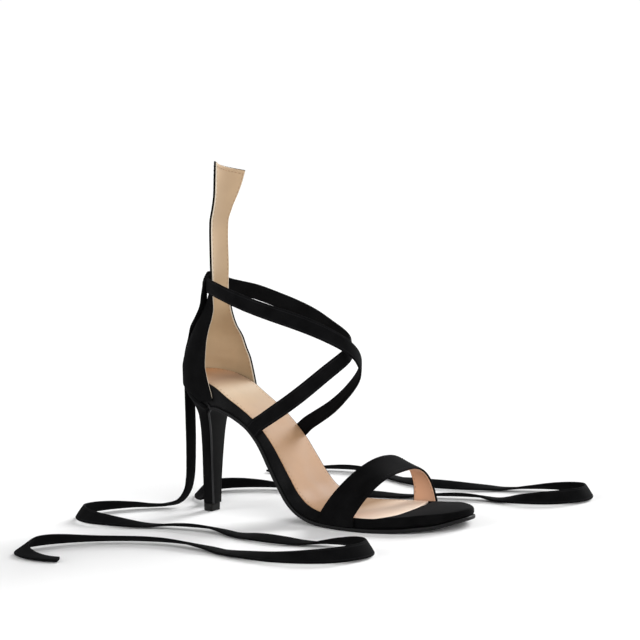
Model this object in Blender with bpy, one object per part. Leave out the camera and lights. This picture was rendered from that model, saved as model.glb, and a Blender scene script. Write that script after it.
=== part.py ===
"""Right lace-up sandal on a slender high heel, standing on its forefoot and its heel tip.

The origin is the centre of the forefoot's tread on the floor. +X points to the toe, +Y to the
inner (medial) side of the foot and +Z up. Lengths are in metres.
"""
import bisect
import math

import bmesh
import bpy
from mathutils import Vector

# Driving sizes of the sole and the last
SHOE_LENGTH = 0.2082        # seat's back to toe tip, along the floor
BALL_WIDTH = 0.078          # footbed across the ball
SEAT_RISE = 0.086           # footbed's rise from ball to seat
SOLE_THICKNESS = 0.0091     # whole sole at the ball
TOE_SPRING = 0.0050
OUTSOLE_THICKNESS = 0.0025
OUTSOLE_MARGIN = 0.0006     # outsole's edge beyond the board's
INSOLE_THICKNESS = 0.0012
INSOLE_INSET = 0.0012       # board's covered rim left bare round the insole
TOE_CROWN = 0.0010          # dome of the covered board ahead of the insole
GAP = 0.0003                # between pieces that touch

# Driving sizes of the heel
SEAT_WIDTH = 0.0506         # outside of the counter at the seat
SEAT_CENTRE = 0.027         # widest place of the seat, from its back
SEAT_UPRIGHT = 1.7          # share of SEAT_CENTRE to which the sole's sides turn from upright
BREAST_AT = 0.0288          # heel breast under the sole, from the seat's back
TIP_FRONT = 0.0189          # front of the heel tip, from the seat's back
TIP_WIDTH = 0.0099
TIP_DEPTH = 0.0091
TIP_HEIGHT = 0.005
HEEL_HEIGHT = 0.072         # breast's top above the floor
HEEL_FLARE = 0.84           # share of HEEL_HEIGHT from which the heel flares to its cup
HEEL_TOP = 1.10             # share of it to which the cup runs before the seat cuts it off
BREAST_COVER = 0.0010
BREAST_MARGIN = 0.0004      # facing's edge inside the heel's, and its chamfer

# Driving sizes of the uppers
COUNTER_WALL = 0.0022
TAB_HEIGHT = 0.234          # middle of the back tab's top above the floor, and its hem
VAMP_WALL = 0.0020
TIE_WIDTH = 0.0102
TIE_THICKNESS = 0.0018
ANKLE_WIDTH = 0.066         # across the tie's loop round the ankle
TIE_BACK_HEIGHT = 0.156     # tie's crossing behind the tab, above the floor
TAB_SKEW = 0.0070           # fall of the tab's top edge to the medial side
FLOOR_CLEARANCE = 0.0005    # under the ties' loose ends

# The tread's flat middle, as a share of SHOE_LENGTH, is the origin
TREAD_CENTRE = 0.666
INSOLE_FRONT = 0.8155
INSOLE_FRONT_BOW = 0.0088   # how far the insole's front edge curves back at its sides
INSOLE_FRONT_PEAK = -0.45   # its foremost place, share of the half width, lateral side negative
INSOLE_BOW_START = 0.60     # share of SHOE_LENGTH from which that curve grows
TOE_RISE_LENGTH = 0.0040    # over which the covered board rises ahead of the insole
TOE_ROUND = 0.0280          # length of the rounded toe

# along: share of SHOE_LENGTH from the seat's back. rise: share of SEAT_RISE.
# spring: share of TOE_SPRING. thickness: share of SOLE_THICKNESS, square to the footbed.
FOOTBED = [
    # along, rise, spring, thickness
    (0.000, 1.006, 0.00, 0.88),
    (0.047, 0.999, 0.00, 1.08),
    (0.095, 0.974, 0.00, 1.42),
    (0.134, 0.943, 0.00, 1.68),
    (0.172, 0.903, 0.00, 1.74),
    (0.218, 0.827, 0.00, 1.28),
    (0.271, 0.743, 0.00, 1.04),
    (0.316, 0.660, 0.00, 0.98),
    (0.348, 0.583, 0.00, 1.02),
    (0.383, 0.480, 0.00, 1.14),
    (0.412, 0.371, 0.00, 1.24),
    (0.444, 0.246, 0.00, 1.30),
    (0.481, 0.120, 0.00, 1.30),
    (0.522, 0.046, 0.00, 1.19),
    (0.570, 0.011, 0.00, 1.08),
    (0.639, 0.000, 0.00, 1.00),
    (0.756, 0.000, 0.02, 1.01),
    (0.848, 0.000, 0.20, 1.06),
    (0.930, 0.000, 0.44, 1.06),
    (1.000, 0.000, 0.42, 0.73),
]

# half: half width and centre: offset to the medial side, both shares of BALL_WIDTH,
# before the seat's and the toe's round ends are taken off.
OUTLINE = [
    # along, half, centre
    (0.000, 0.2920, 0.000),
    (0.133, 0.2920, 0.000),
    (0.199, 0.2980, -0.004),
    (0.315, 0.2800, -0.018),
    (0.434, 0.2980, -0.010),
    (0.555, 0.3850, 0.012),
    (0.628, 0.4550, 0.019),
    (0.677, 0.4840, 0.016),
    (0.748, 0.5000, 0.012),
    (0.821, 0.4800, 0.020),
    (0.889, 0.4330, 0.030),
    (0.951, 0.3930, 0.050),
    (1.000, 0.3650, 0.085),
]

# height: share of HEEL_HEIGHT. front, depth and half: 0 at the tip and 1 under the seat.
# tilt: backward rise of the section.
HEEL_SECTIONS = [
    # height, front, depth, half, tilt
    (0.000, 0.000, 0.000, 0.000, 0.00),
    (0.278, 0.060, 0.020, 0.050, 0.00),
    (0.556, 0.165, 0.055, 0.130, 0.00),
    (0.764, 0.260, 0.105, 0.220, 0.00),
    (0.903, 0.345, 0.183, 0.350, 0.06),
    (0.944, 0.430, 0.280, 0.455, 0.16),
    (0.972, 0.570, 0.430, 0.610, 0.30),
    (0.988, 0.740, 0.620, 0.790, 0.42),
    (1.000, 0.910, 0.840, 0.940, 0.52),
    (1.012, 1.000, 0.950, 0.995, 0.56),
    (1.100, 1.000, 0.985, 1.000, 0.56),
]

# back_z and front_z: heights at the back and at the front edges, shares of TAB_HEIGHT.
# back, lateral and medial: places of the back and of both front edges behind or before the
# seat's back, and half: half width at those edges, all shares of SEAT_WIDTH.
# wrap: degrees of the section's arc on each side. seat: 1 where it follows the board's outline.
COUNTER_SECTIONS = [
    # back_z, front_z, back, lateral, medial, half, wrap, seat
    (0.3740, 0.3315, 0.002, 0.715, 0.767, 0.492, 104, 1.0),
    (0.3980, 0.3520, -0.002, 0.676, 0.759, 0.492, 103, 1.0),
    (0.4230, 0.3930, 0.000, 0.621, 0.727, 0.494, 99, 0.5),
    (0.4470, 0.4320, 0.020, 0.589, 0.688, 0.494, 93, 0.0),
    (0.4700, 0.4660, 0.058, 0.587, 0.638, 0.472, 90, 0.0),
    (0.4960, 0.4960, 0.107, 0.583, 0.609, 0.441, 90, 0.0),
    (0.5340, 0.5340, 0.174, 0.559, 0.579, 0.332, 88, 0.0),
    (0.5600, 0.5600, 0.243, 0.565, 0.575, 0.271, 86, 0.0),
    (0.5850, 0.5850, 0.311, 0.569, 0.569, 0.237, 84, 0.0),
    (0.6110, 0.6110, 0.373, 0.559, 0.559, 0.227, 80, 0.0),
    (0.6410, 0.6410, 0.431, 0.542, 0.542, 0.221, 68, 0.0),
    (0.6750, 0.6750, 0.470, 0.534, 0.534, 0.217, 45, 0.0),
    (0.7140, 0.7140, 0.492, 0.530, 0.530, 0.217, 22, 0.0),
    (0.7690, 0.7690, 0.494, 0.530, 0.530, 0.215, 20, 0.0),
    (0.8290, 0.8290, 0.504, 0.540, 0.540, 0.217, 20, 0.0),
    (0.8680, 0.8680, 0.547, 0.592, 0.592, 0.237, 21, 0.0),
    (0.9060, 0.9060, 0.594, 0.654, 0.654, 0.275, 25, 0.0),
    (0.9470, 0.9470, 0.620, 0.703, 0.703, 0.324, 30, 0.0),
    (0.9915, 0.9915, 0.638, 0.748, 0.748, 0.366, 34, 0.0),
]

# lateral and medial: where the edge meets the board, shares of SHOE_LENGTH.
# height, bow and lean: shares of BALL_WIDTH. round: 1 for an ellipse, less for a squarer arch.
VAMP_EDGES = [
    # lateral, medial, height, bow, lean, round
    (0.580, 0.712, 0.424, 0.172, -0.110, 0.93),
    (0.717, 0.800, 0.314, 0.076, -0.150, 0.64),
]

# along: share of SHOE_LENGTH. side: share of half the ANKLE_WIDTH, lateral side negative.
# height: share of TIE_BACK_HEIGHT. tilt: how far the face looks up. lift: share of a step
# that it lies outside the other tie, which it crosses.
LATERAL_TIE = [
    # along, side, height, tilt, lift
    (0.363, -0.805, 0.425, 0.09, 0.0),
    (0.399, -0.842, 0.453, 0.01, 0.0),
    (0.443, -0.833, 0.489, -0.03, 0.0),
    (0.500, -0.767, 0.543, -0.05, 0.0),
    (0.545, -0.667, 0.593, -0.02, 0.0),
    (0.580, -0.521, 0.637, 0.05, 0.0),
    (0.602, -0.307, 0.671, 0.09, 0.0),
    (0.606, -0.046, 0.694, 0.12, 0.0),
    (0.590, 0.251, 0.711, 0.11, 0.0),
    (0.561, 0.556, 0.728, 0.07, 0.0),
    (0.516, 0.797, 0.752, 0.04, 0.0),
    (0.462, 0.926, 0.782, 0.05, 0.0),
    (0.386, 0.988, 0.835, 0.04, 0.0),
    (0.318, 0.958, 0.874, 0.05, 0.0),
    (0.257, 0.868, 0.906, 0.06, 0.0),
    (0.196, 0.700, 0.940, 0.08, 0.0),
]

MEDIAL_TIE = [
    # along, side, height, tilt, lift
    (0.386, 0.690, 0.383, -0.18, 0.0),
    (0.425, 0.747, 0.416, -0.20, 0.0),
    (0.469, 0.760, 0.453, -0.20, 0.0),
    (0.516, 0.712, 0.503, -0.20, 0.0),
    (0.558, 0.623, 0.551, -0.12, 0.0),
    (0.593, 0.498, 0.595, -0.02, 0.0),
    (0.616, 0.327, 0.635, 0.08, 0.3),
    (0.625, 0.123, 0.672, 0.20, 1.0),
    (0.626, -0.101, 0.713, 0.34, 1.0),
    (0.607, -0.376, 0.754, 0.38, 1.0),
    (0.563, -0.652, 0.802, 0.26, 0.6),
    (0.502, -0.844, 0.842, 0.14, 0.2),
    (0.423, -0.957, 0.877, 0.05, 0.0),
    (0.336, -0.974, 0.912, 0.02, 0.0),
    (0.263, -0.888, 0.941, 0.00, 0.0),
    (0.200, -0.719, 0.963, 0.03, 0.0),
]

# The ties' last stretch lies on the tab's back. side: share of the tab's half width there.
LATERAL_TIE_BACK = [
    # side, height
    (1.02, 0.970),
    (0.55, 0.988),
    (0.00, 1.000),
    (-0.55, 1.008),
    (-0.95, 1.012),
]

MEDIAL_TIE_BACK = [
    # side, height
    (-1.02, 0.980),
    (-0.55, 0.992),
    (0.00, 1.000),
    (0.55, 1.008),
    (0.95, 1.012),
]
TIE_STEP = 0.60             # share of TIE_THICKNESS by which one tie lies outside the other

# Route of each tie's loose end, in metres from the seat's back: from the tab's back down over
# the counter to the floor, where it lies in slack bends. turn: degrees to the medial side that
# its outer face looks while it hangs. Heights on the floor are set by the tie's own size.
LATERAL_TAIL = [
    # x, y, z, turn
    (0.0198, -0.0076, 0.1602, -20), (0.0194, -0.0075, 0.1520, -22),
    (0.0188, -0.0066, 0.1450, -26), (0.0164, -0.0052, 0.1390, -26),
    (0.0129, -0.0036, 0.1335, -18), (0.0090, -0.0022, 0.1285, -10),
    (0.0061, -0.0008, 0.1225, -3), (0.0040, 0.0004, 0.1165, 1),
    (0.0016, 0.0014, 0.1110, 3), (-0.0007, 0.0022, 0.1045, 5),
    (-0.0017, 0.0027, 0.0975, 6), (-0.0018, 0.0030, 0.0900, 6),
    (-0.0019, 0.0031, 0.0700, 6), (-0.0021, 0.0029, 0.0400, 4),
    (-0.0036, 0.0020, 0.0170, 0), (-0.0094, -0.0008, 0.0050, -10),
    (-0.0205, -0.0080, 0.0, -30), (-0.0360, -0.0200, 0.0, -45),
    (-0.0480, -0.0390, 0.0, -60), (-0.0480, -0.0620, 0.0, -80),
    (-0.0290, -0.0780, 0.0, -90), (0.0010, -0.0790, 0.0, -90),
    (0.0320, -0.0720, 0.0, -90), (0.0640, -0.0730, 0.0, -90),
    (0.0960, -0.0850, 0.0, -90), (0.1280, -0.0930, 0.0, -90),
    (0.1590, -0.0890, 0.0, -90), (0.1860, -0.0920, 0.0, -90),
    (0.2020, -0.1120, 0.0, -90), (0.1930, -0.1370, 0.0, -90),
    (0.1640, -0.1470, 0.0, -90), (0.1310, -0.1420, 0.0, -90),
    (0.0980, -0.1300, 0.0, -90), (0.0660, -0.1240, 0.0, -90),
    (0.0360, -0.1300, 0.0, -90), (0.0120, -0.1450, 0.0, -90),
    (-0.0030, -0.1660, 0.0, -90), (0.0020, -0.1880, 0.0, -90),
    (0.0240, -0.1970, 0.0, -90), (0.0520, -0.1920, 0.0, -90),
    (0.0800, -0.1840, 0.0, -90), (0.1060, -0.1820, 0.0, -90),
]

MEDIAL_TAIL = [
    # x, y, z, turn
    (0.0195, 0.0080, 0.1600, 20), (0.0190, 0.0083, 0.1520, 25),
    (0.0188, 0.0090, 0.1450, 34), (0.0189, 0.0104, 0.1380, 44),
    (0.0176, 0.0119, 0.1320, 50), (0.0146, 0.0132, 0.1262, 50),
    (0.0112, 0.0143, 0.1205, 46), (0.0091, 0.0154, 0.1145, 43),
    (0.0079, 0.0166, 0.1084, 44), (0.0070, 0.0175, 0.1024, 46),
    (0.0064, 0.0184, 0.0962, 47), (0.0063, 0.0190, 0.0900, 46),
    (0.0058, 0.0190, 0.0700, 40), (0.0050, 0.0188, 0.0400, 32),
    (0.0034, 0.0198, 0.0170, 30), (-0.0024, 0.0242, 0.0050, 35),
    (-0.0125, 0.0320, 0.0, 50), (-0.0245, 0.0450, 0.0, 60),
    (-0.0290, 0.0650, 0.0, 80), (-0.0170, 0.0830, 0.0, 90),
    (0.0080, 0.0920, 0.0, 90), (0.0380, 0.0880, 0.0, 90),
    (0.0690, 0.0820, 0.0, 90), (0.1010, 0.0880, 0.0, 90),
    (0.1320, 0.1010, 0.0, 90), (0.1640, 0.1060, 0.0, 90),
    (0.1930, 0.1000, 0.0, 90), (0.2190, 0.1040, 0.0, 90),
    (0.2330, 0.1250, 0.0, 90), (0.2230, 0.1490, 0.0, 90),
    (0.1950, 0.1570, 0.0, 90), (0.1640, 0.1490, 0.0, 90),
    (0.1330, 0.1400, 0.0, 90), (0.1020, 0.1420, 0.0, 90),
    (0.0750, 0.1570, 0.0, 90), (0.0500, 0.1740, 0.0, 90),
    (0.0240, 0.1860, 0.0, 90), (-0.0040, 0.1860, 0.0, 90),
    (-0.0280, 0.1730, 0.0, 90), (-0.0440, 0.1530, 0.0, 90),
    (-0.0500, 0.1290, 0.0, 90),
]
TAIL_LENGTH = 0.82
TAIL_POINTS = 86
TAIL_SAMPLES = 400
LANDING_HEIGHT = 0.020      # over which a hanging end has no roll
FLAT_END = 0.10             # share of a loose end that lies flat at its tip
TAIL_ROLL = 1.05            # radians that a tie leans up on its edge in its tightest bends
TAIL_ROLL_RADIUS = 0.030    # bend radius at which it leans that far


def clamp(value, low, high):
    return max(low, min(high, value))


def smooth_step(low, high, value):
    share = clamp((value - low) / (high - low), 0.0, 1.0)
    return share * share * (3.0 - 2.0 * share)


def column(rows, index):
    """Smooth curve through one column of a table, read by its first column."""
    xs = [row[0] for row in rows]
    ys = [row[index] for row in rows]
    steps = [(ys[i + 1] - ys[i]) / (xs[i + 1] - xs[i]) for i in range(len(xs) - 1)]
    slopes = [steps[0]]
    for before, after in zip(steps, steps[1:]):
        agree = before * after > 0.0
        slopes.append(2.0 * before * after / (before + after) if agree else 0.0)
    slopes.append(steps[-1])

    def read(x):
        x = clamp(x, xs[0], xs[-1])
        i = clamp(bisect.bisect_right(xs, x) - 1, 0, len(xs) - 2)
        width = xs[i + 1] - xs[i]
        t = (x - xs[i]) / width
        rise = (2 * t - 3) * t * t
        start = ((t - 2) * t + 1) * t * width * slopes[i]
        end = (t - 1) * t * t * width * slopes[i + 1]
        return ys[i] * (rise + 1) - ys[i + 1] * rise + start + end

    return read


RISE = column(FOOTBED, 1)
SPRING = column(FOOTBED, 2)
THICKNESS = column(FOOTBED, 3)
HALF = column(OUTLINE, 1)
CENTRE = column(OUTLINE, 2)
ORIGIN_AT = TREAD_CENTRE * SHOE_LENGTH
SEAT_WALL = COUNTER_WALL + GAP


def footbed_height(x):
    """Height of the insole's top at x from the seat's back."""
    share = x / SHOE_LENGTH
    return SOLE_THICKNESS + SEAT_RISE * RISE(share) + TOE_SPRING * SPRING(share)


def sole_thickness(x):
    return SOLE_THICKNESS * THICKNESS(x / SHOE_LENGTH)


def footbed_normal(x):
    """Unit vector square to the footbed, upright over the seat."""
    step = 0.0005
    slope = (footbed_height(x + step) - footbed_height(x - step)) / (2 * step)
    slope *= smooth_step(SEAT_CENTRE, SEAT_UPRIGHT * SEAT_CENTRE, x)
    return Vector((-slope, 0.0, 1.0)).normalized()


def layer_point(x, offset, y=0.0):
    """Point of the sole at an offset from the footbed, never below the floor."""
    normal = footbed_normal(x)
    point = Vector((x, y, footbed_height(x))) + normal * offset
    under = Vector((x, y, footbed_height(x))) - normal * sole_thickness(x)
    point.z += max(0.0, -under.z) * smooth_step(0.0, -sole_thickness(x), offset)
    return point


def underside(x, lift=0.0):
    """Point of the sole's underside below station x, lifted square to the footbed."""
    normal = footbed_normal(x)
    point = Vector((x, 0.0, footbed_height(x))) - normal * sole_thickness(x)
    point.z = max(0.0, point.z)
    return point + normal * lift


def underside_height(x):
    """Height of the underside straight below x, near the seat."""
    low = x
    high = x + 0.030
    for _ in range(40):
        middle = (low + high) / 2
        if underside(middle).x < x:
            low = middle
        else:
            high = middle
    return underside(low).z


def station_over(x):
    """Station whose underside point lies at x."""
    low = x - 0.005
    high = x + 0.030
    for _ in range(40):
        middle = (low + high) / 2
        if underside(middle).x < x:
            low = middle
        else:
            high = middle
    return low


def edge(x, inset=0.0):
    """Lateral and medial edge of the board's outline at x, drawn in by inset."""
    share = x / SHOE_LENGTH
    half = BALL_WIDTH * HALF(share) - inset
    seat_radius = SEAT_CENTRE - SEAT_WALL - inset
    toe_radius = TOE_ROUND - inset
    behind = clamp((SEAT_CENTRE - x) / seat_radius, 0.0, 1.0)
    ahead = clamp((x - SHOE_LENGTH + TOE_ROUND) / toe_radius, 0.0, 1.0)
    half *= math.sqrt(max(0.0, 1.0 - behind ** 2)) * math.sqrt(max(0.0, 1.0 - ahead ** 2))
    centre = BALL_WIDTH * CENTRE(share)
    return centre - half, centre + half


END_STEPS = (0.00004, 0.0005, 0.0016)   # rings in from a rounded end


def stations(back, front, count, round_back=True, round_front=True):
    """Places from back to front, closer together toward rounded ends."""
    places = []
    for i in range(count + 1):
        t = i / count
        if round_back and round_front:
            t = (t + (1 - math.cos(math.pi * t)) / 2) / 2
        elif round_back:
            t = (t + t * t) / 2
        places.append(back + (front - back) * t)
    if round_back:
        places[0:1] = [back + step for step in END_STEPS]
    if round_front:
        places[-1:] = [front - step for step in END_STEPS]
    return sorted(places)


def placed(point):
    return Vector((point.x - ORIGIN_AT, point.y, point.z))


def make_object(name, vertices, faces, material, sharp=35.0):
    mesh = bpy.data.meshes.new(name)
    mesh.from_pydata([placed(v) for v in vertices], [], faces)
    work = bmesh.new()
    work.from_mesh(mesh)
    bmesh.ops.recalc_face_normals(work, faces=work.faces)
    work.to_mesh(mesh)
    work.free()
    mesh.shade_smooth()
    mesh.set_sharp_from_angle(angle=math.radians(sharp))
    item = bpy.data.objects.new(name, mesh)
    bpy.context.scene.collection.objects.link(item)
    if material:
        mesh.materials.append(material)
    return item


def loft(name, rings, material, sharp=35.0):
    """Solid through closed rings of equal count, with flat ends."""
    size = len(rings[0])
    vertices = [v for ring in rings for v in ring]
    faces = [list(range(size))]
    for r in range(len(rings) - 1):
        for i in range(size):
            j = (i + 1) % size
            a = r * size
            b = a + size
            faces.append([a + i, a + j, b + j, b + i])
    last = (len(rings) - 1) * size
    faces.append([last + i for i in reversed(range(size))])
    return make_object(name, vertices, faces, material, sharp)


def sheet(name, outer, inner, material, sharp=35.0):
    """Solid wall between two grids of equal shape."""
    rows = len(outer)
    cols = len(outer[0])
    vertices = [v for row in outer for v in row] + [v for row in inner for v in row]
    base = rows * cols
    faces = []
    for r in range(rows - 1):
        for c in range(cols - 1):
            a = r * cols + c
            faces.append([a, a + 1, a + cols + 1, a + cols])
            faces.append([base + a, base + a + cols, base + a + cols + 1, base + a + 1])
    rim = [c for c in range(cols)]
    rim += [r * cols + cols - 1 for r in range(1, rows)]
    rim += [(rows - 1) * cols + c for c in reversed(range(cols - 1))]
    rim += [r * cols for r in reversed(range(1, rows - 1))]
    for a, b in zip(rim, rim[1:] + rim[:1]):
        faces.append([b, a, base + a, base + b])
    return make_object(name, vertices, faces, material, sharp)


def cut(target, cutter):
    """Cut one solid by another, which stays as a hidden guide."""
    cutter.hide_render = True
    cutter.display_type = "WIRE"
    modifier = target.modifiers.new("fit", "BOOLEAN")
    modifier.operation = "DIFFERENCE"
    modifier.solver = "EXACT"
    modifier.object = cutter


def join(target, other):
    """Join a guide's solid to the target."""
    other.hide_render = True
    other.display_type = "WIRE"
    modifier = target.modifiers.new("join", "BOOLEAN")
    modifier.operation = "UNION"
    modifier.solver = "EXACT"
    modifier.object = other


def finish(name, colour, roughness):
    material = bpy.data.materials.new(name)
    material.use_nodes = True
    shader = material.node_tree.nodes["Principled BSDF"]
    shader.inputs["Base Color"].default_value = (*colour, 1.0)
    shader.inputs["Roughness"].default_value = roughness
    shader.inputs["Metallic"].default_value = 0.0
    return material


OUTSOLE_BACK = BREAST_AT + BREAST_COVER + 2 * GAP
BOARD_STEP = (0.0008, 0.0005)   # the step over the outsole starts and ends this far behind it
BOARD_CHAMFER = 0.0009
TOE_CHAMFER = 0.0020        # softer edge of the bare toe
OUTSOLE_CHAMFER = 0.0004
LEAST_HALF = 0.0004         # half width of a layer's end ring
ACROSS = (-1.0, -0.86, -0.66, -0.45, -0.10, 0.30, 0.65, 0.88, 1.0)


def insole_pull(share):
    """How far the insole's front edge lies behind its foremost place at a share across."""
    away = share - INSOLE_FRONT_PEAK
    reach = away / (math.copysign(1.0, away) - INSOLE_FRONT_PEAK)
    return INSOLE_FRONT_BOW * reach ** (2 if away > 0.0 else 3)


def bow_share(x):
    """How much of the insole's front curve a ring at x takes on: none at the toe's tip."""
    front = INSOLE_FRONT * SHOE_LENGTH
    back = INSOLE_BOW_START * SHOE_LENGTH
    return smooth_step(back, front, x) * smooth_step(SHOE_LENGTH, front, x)


def toe_rise(x):
    """0 under the insole and 1 on the bare toe, at a ring's station."""
    start = INSOLE_FRONT * SHOE_LENGTH + GAP
    return smooth_step(start, start + TOE_RISE_LENGTH, x)


def across_point(x, share, level, inset, margin=0.0):
    """Point of the ring at station x: share of the half width, less the margin, across.

    level gives the offset from the footbed at a place along the shoe.
    """
    place = x - bow_share(x) * insole_pull(share)
    lateral, medial = edge(place, inset)
    half = max((medial - lateral) / 2, LEAST_HALF)
    y = (lateral + medial) / 2 + (half - min(margin, half * 0.4)) * share
    return layer_point(place, level(place), y)


def band_ring(x, low, high, inset, chamfer, crown=0.0):
    """Ring of one sole layer between two levels, with a chamfered edge and a domed top."""
    ring = [across_point(x, s, low, inset, chamfer) for s in (-1.0, -0.5, 0.0, 0.5, 1.0)]
    ring.append(across_point(x, 1.0, lambda place: low(place) + chamfer, inset))
    ring.append(across_point(x, 1.0, lambda place: high(place) - chamfer, inset))
    for share in reversed(ACROSS):
        dome = crown * (1.0 - share ** 2)
        ring.append(across_point(x, share, lambda place: high(place) + dome, inset, chamfer))
    ring.append(across_point(x, -1.0, lambda place: high(place) - chamfer, inset))
    ring.append(across_point(x, -1.0, lambda place: low(place) + chamfer, inset))
    return ring


def outsole_low(x):
    return -sole_thickness(x)


def outsole_high(x):
    return OUTSOLE_THICKNESS - sole_thickness(x)


def build_outsole(material):
    back = station_over(OUTSOLE_BACK)
    front = SHOE_LENGTH + OUTSOLE_MARGIN
    rings = []
    for x in stations(back, front, 36, round_back=False):
        rings.append(band_ring(x, outsole_low, outsole_high, -OUTSOLE_MARGIN,
                               OUTSOLE_CHAMFER))
    return loft("outsole", rings, material)


def board_low(x):
    """Offset of the board's underside, which steps up over the outsole."""
    start, end = [station_over(OUTSOLE_BACK) - d for d in BOARD_STEP]
    step = smooth_step(start, end, x)
    return -sole_thickness(x) + step * (OUTSOLE_THICKNESS + GAP)


def build_board(material):
    steps = [station_over(OUTSOLE_BACK) - d for d in BOARD_STEP]
    bend = [INSOLE_FRONT * SHOE_LENGTH + GAP + TOE_RISE_LENGTH * k for k in (-1, 0, 1)]
    rings = []
    for x in sorted(stations(SEAT_WALL, SHOE_LENGTH, 40) + steps + bend):
        rise = toe_rise(x)
        top = -(INSOLE_THICKNESS + GAP) * (1.0 - rise)
        chamfer = BOARD_CHAMFER + (TOE_CHAMFER - BOARD_CHAMFER) * rise
        rings.append(band_ring(x, board_low, lambda _: top, 0.0, chamfer, TOE_CROWN * rise))
    return loft("footbed_board", rings, material)


def build_insole(material):
    """Insole from the seat to its bowed front edge, laid on the board."""
    back = SEAT_WALL + INSOLE_INSET
    rings = []
    for x in stations(back, INSOLE_FRONT * SHOE_LENGTH, 34, round_front=False):
        low = [across_point(x, s, lambda _: -INSOLE_THICKNESS, INSOLE_INSET) for s in ACROSS]
        high = [across_point(x, s, lambda _: 0.0, INSOLE_INSET) for s in ACROSS]
        rings.append(low + list(reversed(high)))
    return loft("insole", rings, material)


HEEL_FRONT = column(HEEL_SECTIONS, 1)
HEEL_DEPTH = column(HEEL_SECTIONS, 2)
HEEL_HALF = column(HEEL_SECTIONS, 3)
HEEL_TILT = column(HEEL_SECTIONS, 4)


def heel_section(height):
    """Front, depth, half width and tilt of the heel at a height over the floor."""
    share = height / HEEL_HEIGHT
    front = TIP_FRONT + (BREAST_AT - TIP_FRONT) * HEEL_FRONT(share)
    depth = TIP_DEPTH + (BREAST_AT - TIP_DEPTH) * HEEL_DEPTH(share)
    half = TIP_WIDTH / 2 + (SEAT_WIDTH - TIP_WIDTH) / 2 * HEEL_HALF(share)
    return front, depth, half, HEEL_TILT(share)


def heel_ring(height, segments=16):
    front, depth, half, tilt = heel_section(height)
    ring = []
    for i in range(segments + 1):
        angle = math.pi * (i / segments - 0.5)
        x = front - depth * math.cos(angle)
        ring.append(Vector((x, half * math.sin(angle), height + tilt * (front - x))))
    return ring


def heel_levels():
    low = TIP_HEIGHT + GAP
    flare = HEEL_FLARE * HEEL_HEIGHT
    lower = [low + (flare - low) * i / 7 for i in range(8)]
    upper = [flare + (HEEL_TOP * HEEL_HEIGHT - flare) * i / 11 for i in range(1, 12)]
    return lower + upper


CUTTER_START = -0.012       # guide that trims the heel under the seat
CUTTER_LENGTH = 0.075
CUTTER_HALF = 0.045
CUTTER_HEIGHT = 0.050


def seat_cutter():
    """Everything above the sole's underside round the seat."""
    rings = []
    for i in range(17):
        x = CUTTER_START + CUTTER_LENGTH * i / 16
        low = underside(max(x, 0.0)) - footbed_normal(max(x, 0.0)) * GAP
        low.x += min(x, 0.0)
        high = low + Vector((0.0, 0.0, CUTTER_HEIGHT))
        side = Vector((0.0, CUTTER_HALF, 0.0))
        rings.append([low - side, low + side, high + side, high - side])
    return loft("seat_guide", rings, None)


def build_heel(material, cutter):
    heel = loft("heel", [heel_ring(z) for z in heel_levels()], material)
    cut(heel, cutter)
    return heel


def build_heel_tip(material):
    rings = [heel_ring(z) for z in (0.0, TIP_HEIGHT)]
    return loft("heel_tip", rings, material)


def build_breast(material, cutter):
    """Thin smooth facing over the heel's flat front."""
    rings = []
    for z in heel_levels():
        front, _, half, _ = heel_section(z)
        near = front + GAP
        far = near + BREAST_COVER
        wide = half - BREAST_MARGIN
        slim = wide - BREAST_MARGIN
        rings.append([Vector((near, -wide, z)), Vector((near, wide, z)),
                      Vector((far, slim, z)), Vector((far, -slim, z))])
    facing = loft("heel_breast", rings, material)
    cut(facing, cutter)
    return facing


def counter_column(index):
    rows = [(i, row[index]) for i, row in enumerate(COUNTER_SECTIONS)]
    return column(rows, 1)


COUNTER_CURVES = [counter_column(i) for i in range(8)]
COUNTER_TOP = float(len(COUNTER_SECTIONS) - 1)
COUNTER_STEP = 0.0040       # length of the counter's rise over the outsole's back edge
COUNTER_ROWS = 28
COUNTER_COLS = 11


def counter_outer(level, t, side):
    """Outer point of the counter: level through the sections, t from back to front edge."""
    back_z, front_z, back, lateral, medial, half, wrap, seat = [c(level) for c in COUNTER_CURVES]
    front = medial if side > 0 else lateral
    wrap = math.radians(wrap)
    reach = (1 - math.cos(wrap * t)) / (1 - math.cos(wrap))
    x = SEAT_WIDTH * (back + (front - back) * reach)
    y = SEAT_WIDTH * half * math.sin(wrap * t) / math.sin(wrap)
    if seat > 0.0:
        follow = edge_outset(x, SEAT_WALL, side)
        y += (follow - y) * seat
    z = TAB_HEIGHT * (back_z + (front_z - back_z) * reach)
    z -= TAB_SKEW * side * t * smooth_step(COUNTER_TOP - 3.0, COUNTER_TOP, level) / 2
    if level < 1.0:
        rim = max(underside_height(max(x, 0.0)), underside_height(BREAST_AT))
        over = smooth_step(BREAST_AT - COUNTER_STEP, BREAST_AT, x)
        rim += (OUTSOLE_THICKNESS + 2 * GAP) * over
        z = rim + (z - rim) * level
    return Vector((x, side * y, z))


def edge_outset(x, outset, side):
    """Half width of the board's outline moved out by outset, round the seat."""
    lateral, medial = edge(max(x, SEAT_CENTRE), -outset)
    half = medial if side > 0 else -lateral
    behind = clamp((SEAT_CENTRE - x) / (SEAT_CENTRE - SEAT_WALL + outset), 0.0, 1.0)
    return half * math.sqrt(max(0.0, 1.0 - behind ** 2))


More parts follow.
